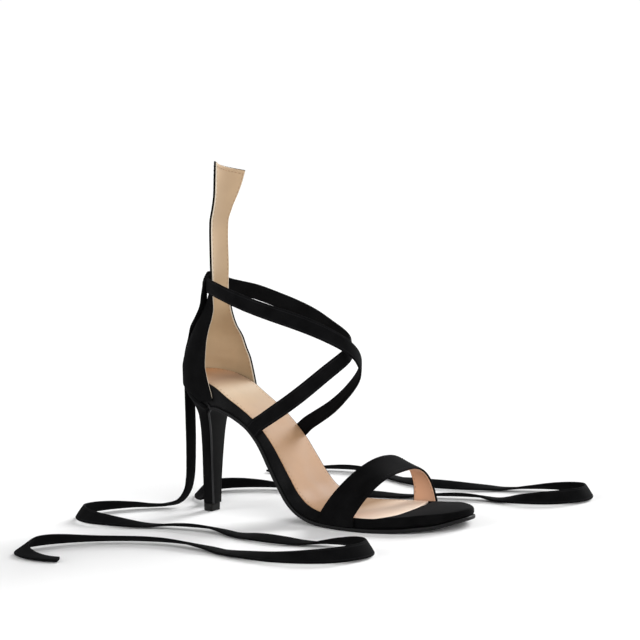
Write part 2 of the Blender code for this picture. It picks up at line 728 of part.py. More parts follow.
def build_counter(material):
    outer = []
    inner = []
    for r in range(COUNTER_ROWS + 1):
        level = COUNTER_TOP * r / COUNTER_ROWS
        points = [counter_outer(level, i / COUNTER_COLS, -1) for i in range(COUNTER_COLS, 0, -1)]
        points += [counter_outer(level, i / COUNTER_COLS, 1) for i in range(COUNTER_COLS + 1)]
        insides = []
        for i, point in enumerate(points):
            before = points[max(i - 1, 0)]
            after = points[min(i + 1, len(points) - 1)]
            run = Vector((after.x - before.x, after.y - before.y, 0.0)).normalized()
            insides.append(point + Vector((run.y, -run.x, 0.0)) * COUNTER_WALL)
        outer.append(points)
        inner.append(insides)
    return sheet("counter", outer, inner, material)


VAMP_RIBS = 28
VAMP_ROWS = 5
VAMP_EVENNESS = 0.65        # 1 spaces the ribs evenly, 0 crowds them at the feet
VAMP_KNEE = 0.4             # share of the lap at which it turns in under the strap


def vamp_edge(v):
    rear, fore = VAMP_EDGES
    return [a + (b - a) * v for a, b in zip(rear, fore)]


def vamp_point(u, v, offset):
    """Point of the toe strap: u from lateral to medial side, v from rear to front edge."""
    lateral, medial, height, bow, lean, roundness = vamp_edge(v)
    angle = math.pi * (1 - u)
    lift = math.sin(angle) ** roundness if 0.0 < u < 1.0 else 0.0
    cosine = math.cos(angle)
    across = math.copysign(abs(cosine) ** roundness, cosine)
    share = (across + 1) / 2
    ends = []
    for place, side in ((lateral, 0), (medial, 1)):
        x = place * SHOE_LENGTH
        y = edge(x)[side] + (GAP + VAMP_WALL / 2 + offset) * (2 * side - 1)
        ends.append(Vector((x, y, footbed_height(x))))
    base = ends[0].lerp(ends[1], share)
    base.x += BALL_WIDTH * (bow * lift + lean * lift * across)
    base.z += (BALL_WIDTH * height + offset) * lift
    return base


def vamp_foot(side, v, offset, drop):
    """Point of the strap's lap over the board's side."""
    place = vamp_edge(v)[side] * SHOE_LENGTH
    low = board_low(place) + GAP
    y = edge(place)[side] + (GAP + VAMP_WALL / 2 + offset) * (2 * side - 1)
    return layer_point(place, low * drop, y)


def build_vamp(material):
    grids = []
    for offset in (VAMP_WALL / 2, -VAMP_WALL / 2):
        grid = []
        for r in range(VAMP_ROWS + 1):
            v = r / VAMP_ROWS
            row = [vamp_foot(0, v, offset, 1.0), vamp_foot(0, v, offset, VAMP_KNEE)]
            for i in range(VAMP_RIBS + 1):
                even = i / VAMP_RIBS
                crowded = (1 - math.cos(math.pi * even)) / 2
                u = crowded + (even - crowded) * VAMP_EVENNESS
                row.append(vamp_point(u, v, offset))
            row += [vamp_foot(1, v, offset, VAMP_KNEE), vamp_foot(1, v, offset, 1.0)]
            grid.append(row)
        grids.append(grid)
    return sheet("vamp_strap", grids[0], grids[1], material)


def smooth_path(points, count):
    """Evenly spaced points on a smooth curve through the given ones."""
    dense = []
    for i in range(len(points) - 1):
        before = points[max(i - 1, 0)]
        start = points[i]
        end = points[i + 1]
        after = points[min(i + 2, len(points) - 1)]
        for step in range(12):
            t = step / 12
            a = start * 2
            b = (end - before) * t
            c = (before * 2 - start * 5 + end * 4 - after) * t * t
            d = (start * 3 - before - end * 3 + after) * t ** 3
            dense.append((a + b + c + d) / 2)
    dense.append(points[-1])
    lengths = [0.0]
    for a, b in zip(dense, dense[1:]):
        lengths.append(lengths[-1] + (b.xyz - a.xyz).length)
    even = []
    for k in range(count):
        target = lengths[-1] * k / (count - 1)
        i = clamp(bisect.bisect_right(lengths, target) - 1, 0, len(dense) - 2)
        share = (target - lengths[i]) / max(lengths[i + 1] - lengths[i], 1e-9)
        even.append(dense[i].lerp(dense[i + 1], share))
    return even, lengths[-1]


def ribbon(name, centres, normals, width, thickness, material, corner=0.0003):
    """Flat band of a rectangular section along centres, facing the normals."""
    rings = []
    for i, point in enumerate(centres):
        along = centres[min(i + 1, len(centres) - 1)] - centres[max(i - 1, 0)]
        along.normalize()
        face = (normals[i] - along * normals[i].dot(along)).normalized()
        across = along.cross(face)
        w = width / 2
        h = thickness / 2
        shape = [(-w, -h), (-w, h), (w, h), (w, -h)]
        if corner:
            shape = [(-w, -h + corner), (-w, h - corner), (-w + corner, h), (w - corner, h),
                     (w, h - corner), (w, -h + corner), (w - corner, -h), (-w + corner, -h)]
        rings.append([point + across * a + face * b for a, b in shape])
    return loft(name, rings, material)


ANKLE_AT = 0.376            # ankle's middle, as a share of SHOE_LENGTH
ANKLE_OVAL = 1.7            # ankle's length against its width
TAB_CLEARANCE = 0.0004      # between the ties and the curved tab
LATERAL_TIE_BASE = 0.332    # where each tie is lasted in, share of SHOE_LENGTH
MEDIAL_TIE_BASE = 0.363
TIE_BASE_CLEARANCE = 0.00048
TIE_POINTS = 62
TIE_EASING = 3              # passes that smooth a tie's worn bends
EASED_FROM = (0.04, 0.10)   # shares of a tie's worn length over which the easing comes in
EASED_TO = (0.84, 0.76)     # and over which it ends at the tab


def tie_base(side, place):
    """Three points up the board's side where a tie is lasted in."""
    outward = 2 * side - 1
    y = edge(place)[side] + (TIE_BASE_CLEARANCE + TIE_THICKNESS / 2) * outward
    points = []
    for drop in (1.0, 0.5, 0.0):
        points.append(layer_point(place, (board_low(place) + GAP) * drop, y))
    return points


def tab_back(side, height, offset):
    """Point over the tab's back at a share of its half width, and the way it faces."""
    low = 0.0
    high = COUNTER_TOP
    for _ in range(30):
        middle = (low + high) / 2
        if counter_outer(middle, 0.0, 1).z < height:
            low = middle
        else:
            high = middle
    hand = 1 if side > 0 else -1
    point = counter_outer(low, min(abs(side), 1.0), hand)
    near = counter_outer(low, max(min(abs(side), 1.0) - 0.05, 0.0), hand)
    if abs(side) < 0.05:
        near = counter_outer(low, 0.05, -hand)
    above = counter_outer(low + 0.2, min(abs(side), 1.0), hand)
    face = (point - near).cross(above - point) * hand
    face.normalize()
    if face.x > 0.0:
        face.negate()
    return point + face * offset, face


def build_tie(name, table, back_table, side, base_share, lift_back, material):
    """One tie from the board's side over the instep and round to the back of the tab."""
    route = []
    step = TIE_THICKNESS * TIE_STEP
    for point in tie_base(side, base_share * SHOE_LENGTH):
        route.append((point, Vector((0.0, 2.0 * side - 1.0, 0.0))))
    for along, across, height, tilt, lift in table:
        point = Vector((along * SHOE_LENGTH, across * ANKLE_WIDTH / 2, height * TIE_BACK_HEIGHT))
        forward = (point.x - ANKLE_AT * SHOE_LENGTH) / ANKLE_OVAL
        outward = Vector((forward, point.y, 0.0)).normalized()
        face = (outward + Vector((0.0, 0.0, tilt))).normalized()
        route.append((point + face * lift * step, face))
    for across, height in back_table:
        clear = GAP + TIE_THICKNESS / 2 + lift_back * step + TAB_CLEARANCE
        route.append(tab_back(across, height * TIE_BACK_HEIGHT, clear))
    centres = relaxed(smooth_path([p for p, _ in route], TIE_POINTS)[0], TIE_EASING)
    faces = [face_near(route, point) for point in centres]
    return ribbon(name, centres, faces, TIE_WIDTH, TIE_THICKNESS, material)


def relaxed(points, passes):
    """The route with its worn bends eased; its base and its lap on the tab stay."""
    last = len(points) - 1
    for _ in range(passes):
        eased = [p.copy() for p in points]
        for i in range(1, last):
            share = i / last
            pull = smooth_step(*EASED_FROM, share) * smooth_step(*EASED_TO, share)
            middle = (points[i - 1] + points[i + 1]) / 2
            eased[i] = points[i].lerp(middle, pull / 2)
        points = eased
    return points


def face_near(route, point):
    """Facing of the route at a point, blended from the nearest two rows."""
    spans = []
    for (a, face_a), (b, face_b) in zip(route, route[1:]):
        run = b - a
        t = clamp((point - a).dot(run) / max(run.length_squared, 1e-12), 0.0, 1.0)
        spans.append(((point - a - run * t).length, face_a.lerp(face_b, t)))
    return min(spans, key=lambda span: span[0])[1].normalized()


def build_ties(material):
    lateral = build_tie("instep_straps", LATERAL_TIE, LATERAL_TIE_BACK, 0,
                        LATERAL_TIE_BASE, 1.0, material)
    medial = build_tie("medial_tie_guide", MEDIAL_TIE, MEDIAL_TIE_BACK, 1,
                       MEDIAL_TIE_BASE, 0.0, None)
    join(lateral, medial)
    return lateral


def tail_route(route):
    """Evenly spaced points and facings of a loose end, cut at its length."""
    half_thickness = TIE_THICKNESS / 2
    floor = half_thickness + FLOOR_CLEARANCE
    rows = [Vector((x, y, max(z, floor), turn)) for x, y, z, turn in route]
    even, length = smooth_path(rows, TAIL_SAMPLES)
    last = TAIL_POINTS - 1
    picked = []
    turns = []
    for k in range(TAIL_POINTS):
        place = min(TAIL_LENGTH / length, 1.0) * (TAIL_SAMPLES - 1) * k / last
        i = min(int(place), TAIL_SAMPLES - 2)
        row = even[i].lerp(even[i + 1], place - i)
        picked.append(row.xyz)
        turns.append(math.radians(row.w))
    bends = []
    for i, here in enumerate(picked):
        before = picked[max(i - 3, 0)]
        after = picked[min(i + 3, last)]
        turned = (here - before).xy.cross((after - here).xy)
        size = (here - before).length * (after - here).length * (after - before).length / 2
        bends.append(turned / max(size, 1e-12))
    centres = []
    faces = []
    for i, point in enumerate(picked):
        near = bends[max(i - 2, 0):i + 3]
        roll = TAIL_ROLL * clamp(sum(near) / len(near) * TAIL_ROLL_RADIUS, -1.0, 1.0)
        roll *= smooth_step(LANDING_HEIGHT, floor, point.z)
        roll *= smooth_step(0.0, FLAT_END, 1.0 - i / last)
        along = (picked[min(i + 1, last)] - picked[max(i - 1, 0)]).normalized()
        hanging = Vector((-math.cos(turns[i]), math.sin(turns[i]), 1.0))
        lying = Vector((0.0, 0.0, 1.0))
        face = hanging.lerp(lying, smooth_step(floor + TIE_THICKNESS, floor, point.z))
        face = (face - along * face.dot(along)).normalized()
        across = along.cross(face)
        face = face * math.cos(roll) + across * math.sin(roll)
        lift = TIE_WIDTH / 2 * abs(math.sin(roll)) - half_thickness * (1 - math.cos(roll))
        centres.append(point + Vector((0.0, 0.0, lift)))
        faces.append(face)
    return centres, faces


def build_tail(name, route, material):
    centres, faces = tail_route(route)
    return ribbon(name, centres, faces, TIE_WIDTH, TIE_THICKNESS, material, 0.0)


def clear_scene():
    for item in list(bpy.data.objects):
        bpy.data.objects.remove(item, do_unlink=True)


def main():
    clear_scene()
    suede = finish("black suede", (0.010, 0.010, 0.011), 0.92)
    tie_suede = finish("black tie suede", (0.012, 0.012, 0.013), 0.90)
    smooth_black = finish("smooth black", (0.022, 0.022, 0.023), 0.42)
    rubber = finish("black rubber", (0.014, 0.014, 0.014), 0.60)
    tan = finish("tan lining", (0.66, 0.42, 0.30), 0.50)

    build_outsole(rubber)
    build_board(suede)
    build_insole(tan)
    cutter = seat_cutter()
    build_heel(suede, cutter)
    build_breast(smooth_black, cutter)
    build_heel_tip(rubber)
    build_counter(suede)
    build_vamp(suede)
    build_ties(tie_suede)
    build_tail("tie_tail_lateral", LATERAL_TAIL, tie_suede)
    build_tail("tie_tail_medial", MEDIAL_TAIL, tie_suede)


main()
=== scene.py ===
"""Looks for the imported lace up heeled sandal: suede, lining, stitching and loose tie ends.

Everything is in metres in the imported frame: origin at the forefoot's tread on the floor, +X to
the toe, +Y to the medial side, +Z up. The sizes and tables repeat those of the CAD source.
"""

import bisect
import math

import bmesh
import bpy
import numpy as np
from mathutils import Matrix, Vector


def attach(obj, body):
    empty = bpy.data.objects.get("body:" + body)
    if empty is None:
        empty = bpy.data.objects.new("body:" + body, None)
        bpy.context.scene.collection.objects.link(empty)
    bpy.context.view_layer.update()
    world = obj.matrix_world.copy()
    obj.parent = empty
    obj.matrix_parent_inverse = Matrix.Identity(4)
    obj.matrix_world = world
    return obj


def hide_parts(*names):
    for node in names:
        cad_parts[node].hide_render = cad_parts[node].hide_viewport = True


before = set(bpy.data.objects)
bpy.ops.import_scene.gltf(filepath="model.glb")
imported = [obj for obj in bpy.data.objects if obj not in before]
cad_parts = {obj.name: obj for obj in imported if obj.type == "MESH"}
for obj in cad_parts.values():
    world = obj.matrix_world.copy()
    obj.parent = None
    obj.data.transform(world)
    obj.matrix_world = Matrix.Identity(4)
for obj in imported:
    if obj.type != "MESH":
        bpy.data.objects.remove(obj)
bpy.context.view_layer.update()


# Driving sizes of the sole and the last
SHOE_LENGTH = 0.2082        # seat's back to toe tip, along the floor
BALL_WIDTH = 0.078          # footbed across the ball
SEAT_RISE = 0.086           # footbed's rise from ball to seat
SOLE_THICKNESS = 0.0091     # whole sole at the ball
TOE_SPRING = 0.0050
OUTSOLE_THICKNESS = 0.0025
OUTSOLE_MARGIN = 0.0006     # outsole's edge beyond the board's
INSOLE_THICKNESS = 0.0012
INSOLE_INSET = 0.0012       # board's covered rim left bare round the insole
TOE_CROWN = 0.0010          # dome of the covered board ahead of the insole
GAP = 0.0003                # between pieces that touch

# Driving sizes of the heel
SEAT_WIDTH = 0.0506         # outside of the counter at the seat
SEAT_CENTRE = 0.027         # widest place of the seat, from its back
SEAT_UPRIGHT = 1.7          # share of SEAT_CENTRE to which the sole's sides turn from upright
BREAST_AT = 0.0288          # heel breast under the sole, from the seat's back
TIP_FRONT = 0.0189          # front of the heel tip, from the seat's back
TIP_WIDTH = 0.0099
TIP_DEPTH = 0.0091
TIP_HEIGHT = 0.005
HEEL_HEIGHT = 0.072         # breast's top above the floor
HEEL_TOP = 1.10             # share of it to which the cup runs before the seat cuts it off
BREAST_COVER = 0.0010       # room for the facing, between the heel and the outsole

# Driving sizes of the uppers
COUNTER_WALL = 0.0022
TAB_HEIGHT = 0.234          # middle of the back tab's top above the floor, and its hem
VAMP_WALL = 0.0020
TIE_WIDTH = 0.0102
TIE_THICKNESS = 0.0018
ANKLE_WIDTH = 0.066         # across the tie's loop round the ankle
TIE_BACK_HEIGHT = 0.156     # tie's crossing behind the tab, above the floor
TAB_SKEW = 0.0070           # fall of the tab's top edge to the medial side
FLOOR_CLEARANCE = 0.0005    # under the ties' loose ends

# The tread's flat middle, as a share of SHOE_LENGTH, is the origin
TREAD_CENTRE = 0.666

# The insole's front edge and the toe
INSOLE_FRONT = 0.8155       # the edge's foremost place, share of SHOE_LENGTH
INSOLE_FRONT_BOW = 0.0088   # how far the insole's front edge curves back at its sides
INSOLE_FRONT_PEAK = -0.45   # its foremost place, share of the half width, lateral side negative
INSOLE_BOW_START = 0.60     # share of SHOE_LENGTH from which that curve grows
TOE_RISE_LENGTH = 0.0040    # over which the covered board rises ahead of the insole
TOE_ROUND = 0.0280          # length of the rounded toe

# along: share of SHOE_LENGTH from the seat's back. rise: share of SEAT_RISE.
# spring: share of TOE_SPRING. thickness: share of SOLE_THICKNESS, square to the footbed.
FOOTBED = [
    # along, rise, spring, thickness
    (0.000, 1.006, 0.00, 0.88),
    (0.047, 0.999, 0.00, 1.08),
    (0.095, 0.974, 0.00, 1.42),
    (0.134, 0.943, 0.00, 1.68),
    (0.172, 0.903, 0.00, 1.74),
    (0.218, 0.827, 0.00, 1.28),
    (0.271, 0.743, 0.00, 1.04),
    (0.316, 0.660, 0.00, 0.98),
    (0.348, 0.583, 0.00, 1.02),
    (0.383, 0.480, 0.00, 1.14),
    (0.412, 0.371, 0.00, 1.24),
    (0.444, 0.246, 0.00, 1.30),
    (0.481, 0.120, 0.00, 1.30),
    (0.522, 0.046, 0.00, 1.19),
    (0.570, 0.011, 0.00, 1.08),
    (0.639, 0.000, 0.00, 1.00),
    (0.756, 0.000, 0.02, 1.01),
    (0.848, 0.000, 0.20, 1.06),
    (0.930, 0.000, 0.44, 1.06),
    (1.000, 0.000, 0.42, 0.73),
]

# half: half width and centre: offset to the medial side, both shares of BALL_WIDTH,
# before the seat's and the toe's round ends are taken off.
OUTLINE = [
    # along, half, centre
    (0.000, 0.2920, 0.000),
    (0.133, 0.2920, 0.000),
    (0.199, 0.2980, -0.004),
    (0.315, 0.2800, -0.018),
    (0.434, 0.2980, -0.010),
    (0.555, 0.3850, 0.012),
    (0.628, 0.4550, 0.019),
    (0.677, 0.4840, 0.016),
    (0.748, 0.5000, 0.012),
    (0.821, 0.4800, 0.020),
    (0.889, 0.4330, 0.030),
    (0.951, 0.3930, 0.050),
    (1.000, 0.3650, 0.085),
]

# height: share of HEEL_HEIGHT. front, depth and half: 0 at the tip and 1 under the seat.
# tilt: backward rise of the section.
HEEL_SECTIONS = [
    # height, front, depth, half, tilt
    (0.000, 0.000, 0.000, 0.000, 0.00),
    (0.278, 0.060, 0.020, 0.050, 0.00),
    (0.556, 0.165, 0.055, 0.130, 0.00),
    (0.764, 0.260, 0.105, 0.220, 0.00),
    (0.903, 0.345, 0.183, 0.350, 0.06),
    (0.944, 0.430, 0.280, 0.455, 0.16),
    (0.972, 0.570, 0.430, 0.610, 0.30),
    (0.988, 0.740, 0.620, 0.790, 0.42),
    (1.000, 0.910, 0.840, 0.940, 0.52),
    (1.012, 1.000, 0.950, 0.995, 0.56),
    (1.100, 1.000, 0.985, 1.000, 0.56),
]

# back_z and front_z: heights at the back and at the front edges, shares of TAB_HEIGHT.
# back, lateral and medial: places of the back and of both front edges behind or before the
# seat's back, and half: half width at those edges, all shares of SEAT_WIDTH.
# wrap: degrees of the section's arc on each side. seat: 1 where it follows the board's outline.
COUNTER_SECTIONS = [
    # back_z, front_z, back, lateral, medial, half, wrap, seat
    (0.3740, 0.3315, 0.002, 0.715, 0.767, 0.492, 104, 1.0),
    (0.3980, 0.3520, -0.002, 0.676, 0.759, 0.492, 103, 1.0),
    (0.4230, 0.3930, 0.000, 0.621, 0.727, 0.494, 99, 0.5),
    (0.4470, 0.4320, 0.020, 0.589, 0.688, 0.494, 93, 0.0),
    (0.4700, 0.4660, 0.058, 0.587, 0.638, 0.472, 90, 0.0),
    (0.4960, 0.4960, 0.107, 0.583, 0.609, 0.441, 90, 0.0),
    (0.5340, 0.5340, 0.174, 0.559, 0.579, 0.332, 88, 0.0),
    (0.5600, 0.5600, 0.243, 0.565, 0.575, 0.271, 86, 0.0),
    (0.5850, 0.5850, 0.311, 0.569, 0.569, 0.237, 84, 0.0),
    (0.6110, 0.6110, 0.373, 0.559, 0.559, 0.227, 80, 0.0),
    (0.6410, 0.6410, 0.431, 0.542, 0.542, 0.221, 68, 0.0),
    (0.6750, 0.6750, 0.470, 0.534, 0.534, 0.217, 45, 0.0),
    (0.7140, 0.7140, 0.492, 0.530, 0.530, 0.217, 22, 0.0),
    (0.7690, 0.7690, 0.494, 0.530, 0.530, 0.215, 20, 0.0),
    (0.8290, 0.8290, 0.504, 0.540, 0.540, 0.217, 20, 0.0),
    (0.8680, 0.8680, 0.547, 0.592, 0.592, 0.237, 21, 0.0),
    (0.9060, 0.9060, 0.594, 0.654, 0.654, 0.275, 25, 0.0),
    (0.9470, 0.9470, 0.620, 0.703, 0.703, 0.324, 30, 0.0),
    (0.9915, 0.9915, 0.638, 0.748, 0.748, 0.366, 34, 0.0),
]

# lateral and medial: where the edge meets the board, shares of SHOE_LENGTH.
# height, bow and lean: shares of BALL_WIDTH. round: 1 for an ellipse, less for a squarer arch.
VAMP_EDGES = [
    # lateral, medial, height, bow, lean, round
    (0.580, 0.712, 0.424, 0.172, -0.110, 0.93),
    (0.717, 0.800, 0.314, 0.076, -0.150, 0.64),
]

# along: share of SHOE_LENGTH. side: share of half the ANKLE_WIDTH, lateral side negative.
# height: share of TIE_BACK_HEIGHT. tilt: how far the face looks up. lift: share of a step
# that it lies outside the other tie, which it crosses.
LATERAL_TIE = [
    # along, side, height, tilt, lift
    (0.363, -0.805, 0.425, 0.09, 0.0),
    (0.399, -0.842, 0.453, 0.01, 0.0),
    (0.443, -0.833, 0.489, -0.03, 0.0),
    (0.500, -0.767, 0.543, -0.05, 0.0),
    (0.545, -0.667, 0.593, -0.02, 0.0),
    (0.580, -0.521, 0.637, 0.05, 0.0),
    (0.602, -0.307, 0.671, 0.09, 0.0),
    (0.606, -0.046, 0.694, 0.12, 0.0),
    (0.590, 0.251, 0.711, 0.11, 0.0),
    (0.561, 0.556, 0.728, 0.07, 0.0),
    (0.516, 0.797, 0.752, 0.04, 0.0),
    (0.462, 0.926, 0.782, 0.05, 0.0),
    (0.386, 0.988, 0.835, 0.04, 0.0),
    (0.318, 0.958, 0.874, 0.05, 0.0),
    (0.257, 0.868, 0.906, 0.06, 0.0),
    (0.196, 0.700, 0.940, 0.08, 0.0),
]

MEDIAL_TIE = [
    # along, side, height, tilt, lift
    (0.386, 0.690, 0.383, -0.18, 0.0),
    (0.425, 0.747, 0.416, -0.20, 0.0),
    (0.469, 0.760, 0.453, -0.20, 0.0),
    (0.516, 0.712, 0.503, -0.20, 0.0),
    (0.558, 0.623, 0.551, -0.12, 0.0),
    (0.593, 0.498, 0.595, -0.02, 0.0),
    (0.616, 0.327, 0.635, 0.08, 0.3),
    (0.625, 0.123, 0.672, 0.20, 1.0),
    (0.626, -0.101, 0.713, 0.34, 1.0),
    (0.607, -0.376, 0.754, 0.38, 1.0),
    (0.563, -0.652, 0.802, 0.26, 0.6),
    (0.502, -0.844, 0.842, 0.14, 0.2),
    (0.423, -0.957, 0.877, 0.05, 0.0),
    (0.336, -0.974, 0.912, 0.02, 0.0),
    (0.263, -0.888, 0.941, 0.00, 0.0),
    (0.200, -0.719, 0.963, 0.03, 0.0),
]

# The ties' last stretch lies on the tab's back. side: share of the tab's half width there.
LATERAL_TIE_BACK = [
    # side, height
    (1.02, 0.970),
    (0.55, 0.988),
    (0.00, 1.000),
    (-0.55, 1.008),
    (-0.95, 1.012),
]

MEDIAL_TIE_BACK = [
    # side, height
    (-1.02, 0.980),
    (-0.55, 0.992),
    (0.00, 1.000),
    (0.55, 1.008),
    (0.95, 1.012),
]

TIE_STEP = 0.60             # share of TIE_THICKNESS by which one tie lies outside the other

# Route of each tie's loose end, in metres from the seat's back: from the tab's back down over
# the counter to the floor, where it lies in slack bends. turn: degrees to the medial side that
# its outer face looks while it hangs. Heights on the floor are set by the tie's own size.
LATERAL_TAIL = [
    # x, y, z, turn
    (0.0198, -0.0076, 0.1602, -20), (0.0194, -0.0075, 0.1520, -22),
    (0.0188, -0.0066, 0.1450, -26), (0.0164, -0.0052, 0.1390, -26),
    (0.0129, -0.0036, 0.1335, -18), (0.0090, -0.0022, 0.1285, -10),
    (0.0061, -0.0008, 0.1225, -3), (0.0040, 0.0004, 0.1165, 1),
    (0.0016, 0.0014, 0.1110, 3), (-0.0007, 0.0022, 0.1045, 5),
    (-0.0017, 0.0027, 0.0975, 6), (-0.0018, 0.0030, 0.0900, 6),
    (-0.0019, 0.0031, 0.0700, 6), (-0.0021, 0.0029, 0.0400, 4),
    (-0.0036, 0.0020, 0.0170, 0), (-0.0094, -0.0008, 0.0050, -10),
    (-0.0205, -0.0080, 0.0, -30), (-0.0360, -0.0200, 0.0, -45),
    (-0.0480, -0.0390, 0.0, -60), (-0.0480, -0.0620, 0.0, -80),
    (-0.0290, -0.0780, 0.0, -90), (0.0010, -0.0790, 0.0, -90),
    (0.0320, -0.0720, 0.0, -90), (0.0640, -0.0730, 0.0, -90),
    (0.0960, -0.0850, 0.0, -90), (0.1280, -0.0930, 0.0, -90),
    (0.1590, -0.0890, 0.0, -90), (0.1860, -0.0920, 0.0, -90),
    (0.2020, -0.1120, 0.0, -90), (0.1930, -0.1370, 0.0, -90),
    (0.1640, -0.1470, 0.0, -90), (0.1310, -0.1420, 0.0, -90),
    (0.0980, -0.1300, 0.0, -90), (0.0660, -0.1240, 0.0, -90),
    (0.0360, -0.1300, 0.0, -90), (0.0120, -0.1450, 0.0, -90),
    (-0.0030, -0.1660, 0.0, -90), (0.0020, -0.1880, 0.0, -90),
    (0.0240, -0.1970, 0.0, -90), (0.0520, -0.1920, 0.0, -90),
    (0.0800, -0.1840, 0.0, -90), (0.1060, -0.1820, 0.0, -90),
]

MEDIAL_TAIL = [
    # x, y, z, turn
    (0.0195, 0.0080, 0.1600, 20), (0.0190, 0.0083, 0.1520, 25),
    (0.0188, 0.0090, 0.1450, 34), (0.0189, 0.0104, 0.1380, 44),
    (0.0176, 0.0119, 0.1320, 50), (0.0146, 0.0132, 0.1262, 50),
    (0.0112, 0.0143, 0.1205, 46), (0.0091, 0.0154, 0.1145, 43),
    (0.0079, 0.0166, 0.1084, 44), (0.0070, 0.0175, 0.1024, 46),
    (0.0064, 0.0184, 0.0962, 47), (0.0063, 0.0190, 0.0900, 46),
    (0.0058, 0.0190, 0.0700, 40), (0.0050, 0.0188, 0.0400, 32),
    (0.0034, 0.0198, 0.0170, 30), (-0.0024, 0.0242, 0.0050, 35),
    (-0.0125, 0.0320, 0.0, 50), (-0.0245, 0.0450, 0.0, 60),
    (-0.0290, 0.0650, 0.0, 80), (-0.0170, 0.0830, 0.0, 90),
    (0.0080, 0.0920, 0.0, 90), (0.0380, 0.0880, 0.0, 90),
    (0.0690, 0.0820, 0.0, 90), (0.1010, 0.0880, 0.0, 90),
    (0.1320, 0.1010, 0.0, 90), (0.1640, 0.1060, 0.0, 90),
    (0.1930, 0.1000, 0.0, 90), (0.2190, 0.1040, 0.0, 90),
    (0.2330, 0.1250, 0.0, 90), (0.2230, 0.1490, 0.0, 90),
    (0.1950, 0.1570, 0.0, 90), (0.1640, 0.1490, 0.0, 90),
    (0.1330, 0.1400, 0.0, 90), (0.1020, 0.1420, 0.0, 90),
    (0.0750, 0.1570, 0.0, 90), (0.0500, 0.1740, 0.0, 90),
    (0.0240, 0.1860, 0.0, 90), (-0.0040, 0.1860, 0.0, 90),
    (-0.0280, 0.1730, 0.0, 90), (-0.0440, 0.1530, 0.0, 90),
    (-0.0500, 0.1290, 0.0, 90),
]

TAIL_LENGTH = 0.82
TAIL_POINTS = 86
TAIL_SAMPLES = 400
LANDING_HEIGHT = 0.020      # over which a hanging end has no roll
FLAT_END = 0.10             # share of a loose end that lies flat at its tip
TAIL_ROLL = 1.05            # radians that a tie leans up on its edge in its tightest bends
TAIL_ROLL_RADIUS = 0.030    # bend radius at which it leans that far


def clamp(value, low, high):
    return max(low, min(high, value))


def smooth_step(low, high, value):
    share = clamp((value - low) / (high - low), 0.0, 1.0)
    return share * share * (3.0 - 2.0 * share)


def crossing(low, high, below, passes=40):
    """Value between low and high up to which below() holds."""
    for _ in range(passes):
        middle = (low + high) / 2
        if below(middle):
            low = middle
        else:
            high = middle
    return low


def radians(*angles):
    return [math.radians(a) for a in angles]


def column(rows, index):
    """Smooth curve through one column of a table, read by its first column."""
    xs = [row[0] for row in rows]
    ys = [row[index] for row in rows]
    steps = [(ys[i + 1] - ys[i]) / (xs[i + 1] - xs[i]) for i in range(len(xs) - 1)]
    slopes = [steps[0]]
    for before, after in zip(steps, steps[1:]):
        agree = before * after > 0.0
        slopes.append(2.0 * before * after / (before + after) if agree else 0.0)
    slopes.append(steps[-1])

    def read(x):
        x = clamp(x, xs[0], xs[-1])
        i = clamp(bisect.bisect_right(xs, x) - 1, 0, len(xs) - 2)
        width = xs[i + 1] - xs[i]
        t = (x - xs[i]) / width
        rise = (2 * t - 3) * t * t
        start = ((t - 2) * t + 1) * t * width * slopes[i]
        end = (t - 1) * t * t * width * slopes[i + 1]
        return ys[i] * (rise + 1) - ys[i + 1] * rise + start + end

    return read


RISE, SPRING, THICKNESS = [column(FOOTBED, i) for i in (1, 2, 3)]
HALF, CENTRE = [column(OUTLINE, i) for i in (1, 2)]
ORIGIN_AT = TREAD_CENTRE * SHOE_LENGTH
SEAT_WALL = COUNTER_WALL + GAP
STATION_LEAD = 0.005        # a station's underside lies less than this before it
STATION_REACH = 0.030       # and less than this behind it


def footbed_height(x):
    """Height of the insole's top at x from the seat's back."""
    share = x / SHOE_LENGTH
    return SOLE_THICKNESS + SEAT_RISE * RISE(share) + TOE_SPRING * SPRING(share)


def sole_thickness(x):
    return SOLE_THICKNESS * THICKNESS(x / SHOE_LENGTH)


def footbed_normal(x):
    """Unit vector square to the footbed, upright over the seat."""
    step = 0.0005
    slope = (footbed_height(x + step) - footbed_height(x - step)) / (2 * step)
    slope *= smooth_step(SEAT_CENTRE, SEAT_UPRIGHT * SEAT_CENTRE, x)
    return Vector((-slope, 0.0, 1.0)).normalized()


def layer_point(x, offset, y=0.0):
    """Point of the sole at an offset from the footbed, never below the floor."""
    normal = footbed_normal(x)
    point = Vector((x, y, footbed_height(x))) + normal * offset
    under = Vector((x, y, footbed_height(x))) - normal * sole_thickness(x)
    point.z += max(0.0, -under.z) * smooth_step(0.0, -sole_thickness(x), offset)
    return point


def underside(x):
    """Point of the sole's underside below station x, square to the footbed."""
    point = Vector((x, 0.0, footbed_height(x))) - footbed_normal(x) * sole_thickness(x)
    point.z = max(0.0, point.z)
    return point


def station_over(x):
    """Station whose underside point lies at x."""
    return crossing(x - STATION_LEAD, x + STATION_REACH, lambda m: underside(m).x < x)


def underside_height(x):
    """Height of the underside straight below x, near the seat."""
    return underside(station_over(x)).z


def edge(x, inset=0.0):
    """Lateral and medial edge of the board's outline at x, drawn in by inset."""
    share = x / SHOE_LENGTH
    half = BALL_WIDTH * HALF(share) - inset
    seat_radius = SEAT_CENTRE - SEAT_WALL - inset
    toe_radius = TOE_ROUND - inset
    behind = clamp((SEAT_CENTRE - x) / seat_radius, 0.0, 1.0)
    ahead = clamp((x - SHOE_LENGTH + TOE_ROUND) / toe_radius, 0.0, 1.0)
    half *= math.sqrt(max(0.0, 1.0 - behind ** 2)) * math.sqrt(max(0.0, 1.0 - ahead ** 2))
    centre = BALL_WIDTH * CENTRE(share)
    return centre - half, centre + half


def placed(point):
    return Vector((point.x - ORIGIN_AT, point.y, point.z))


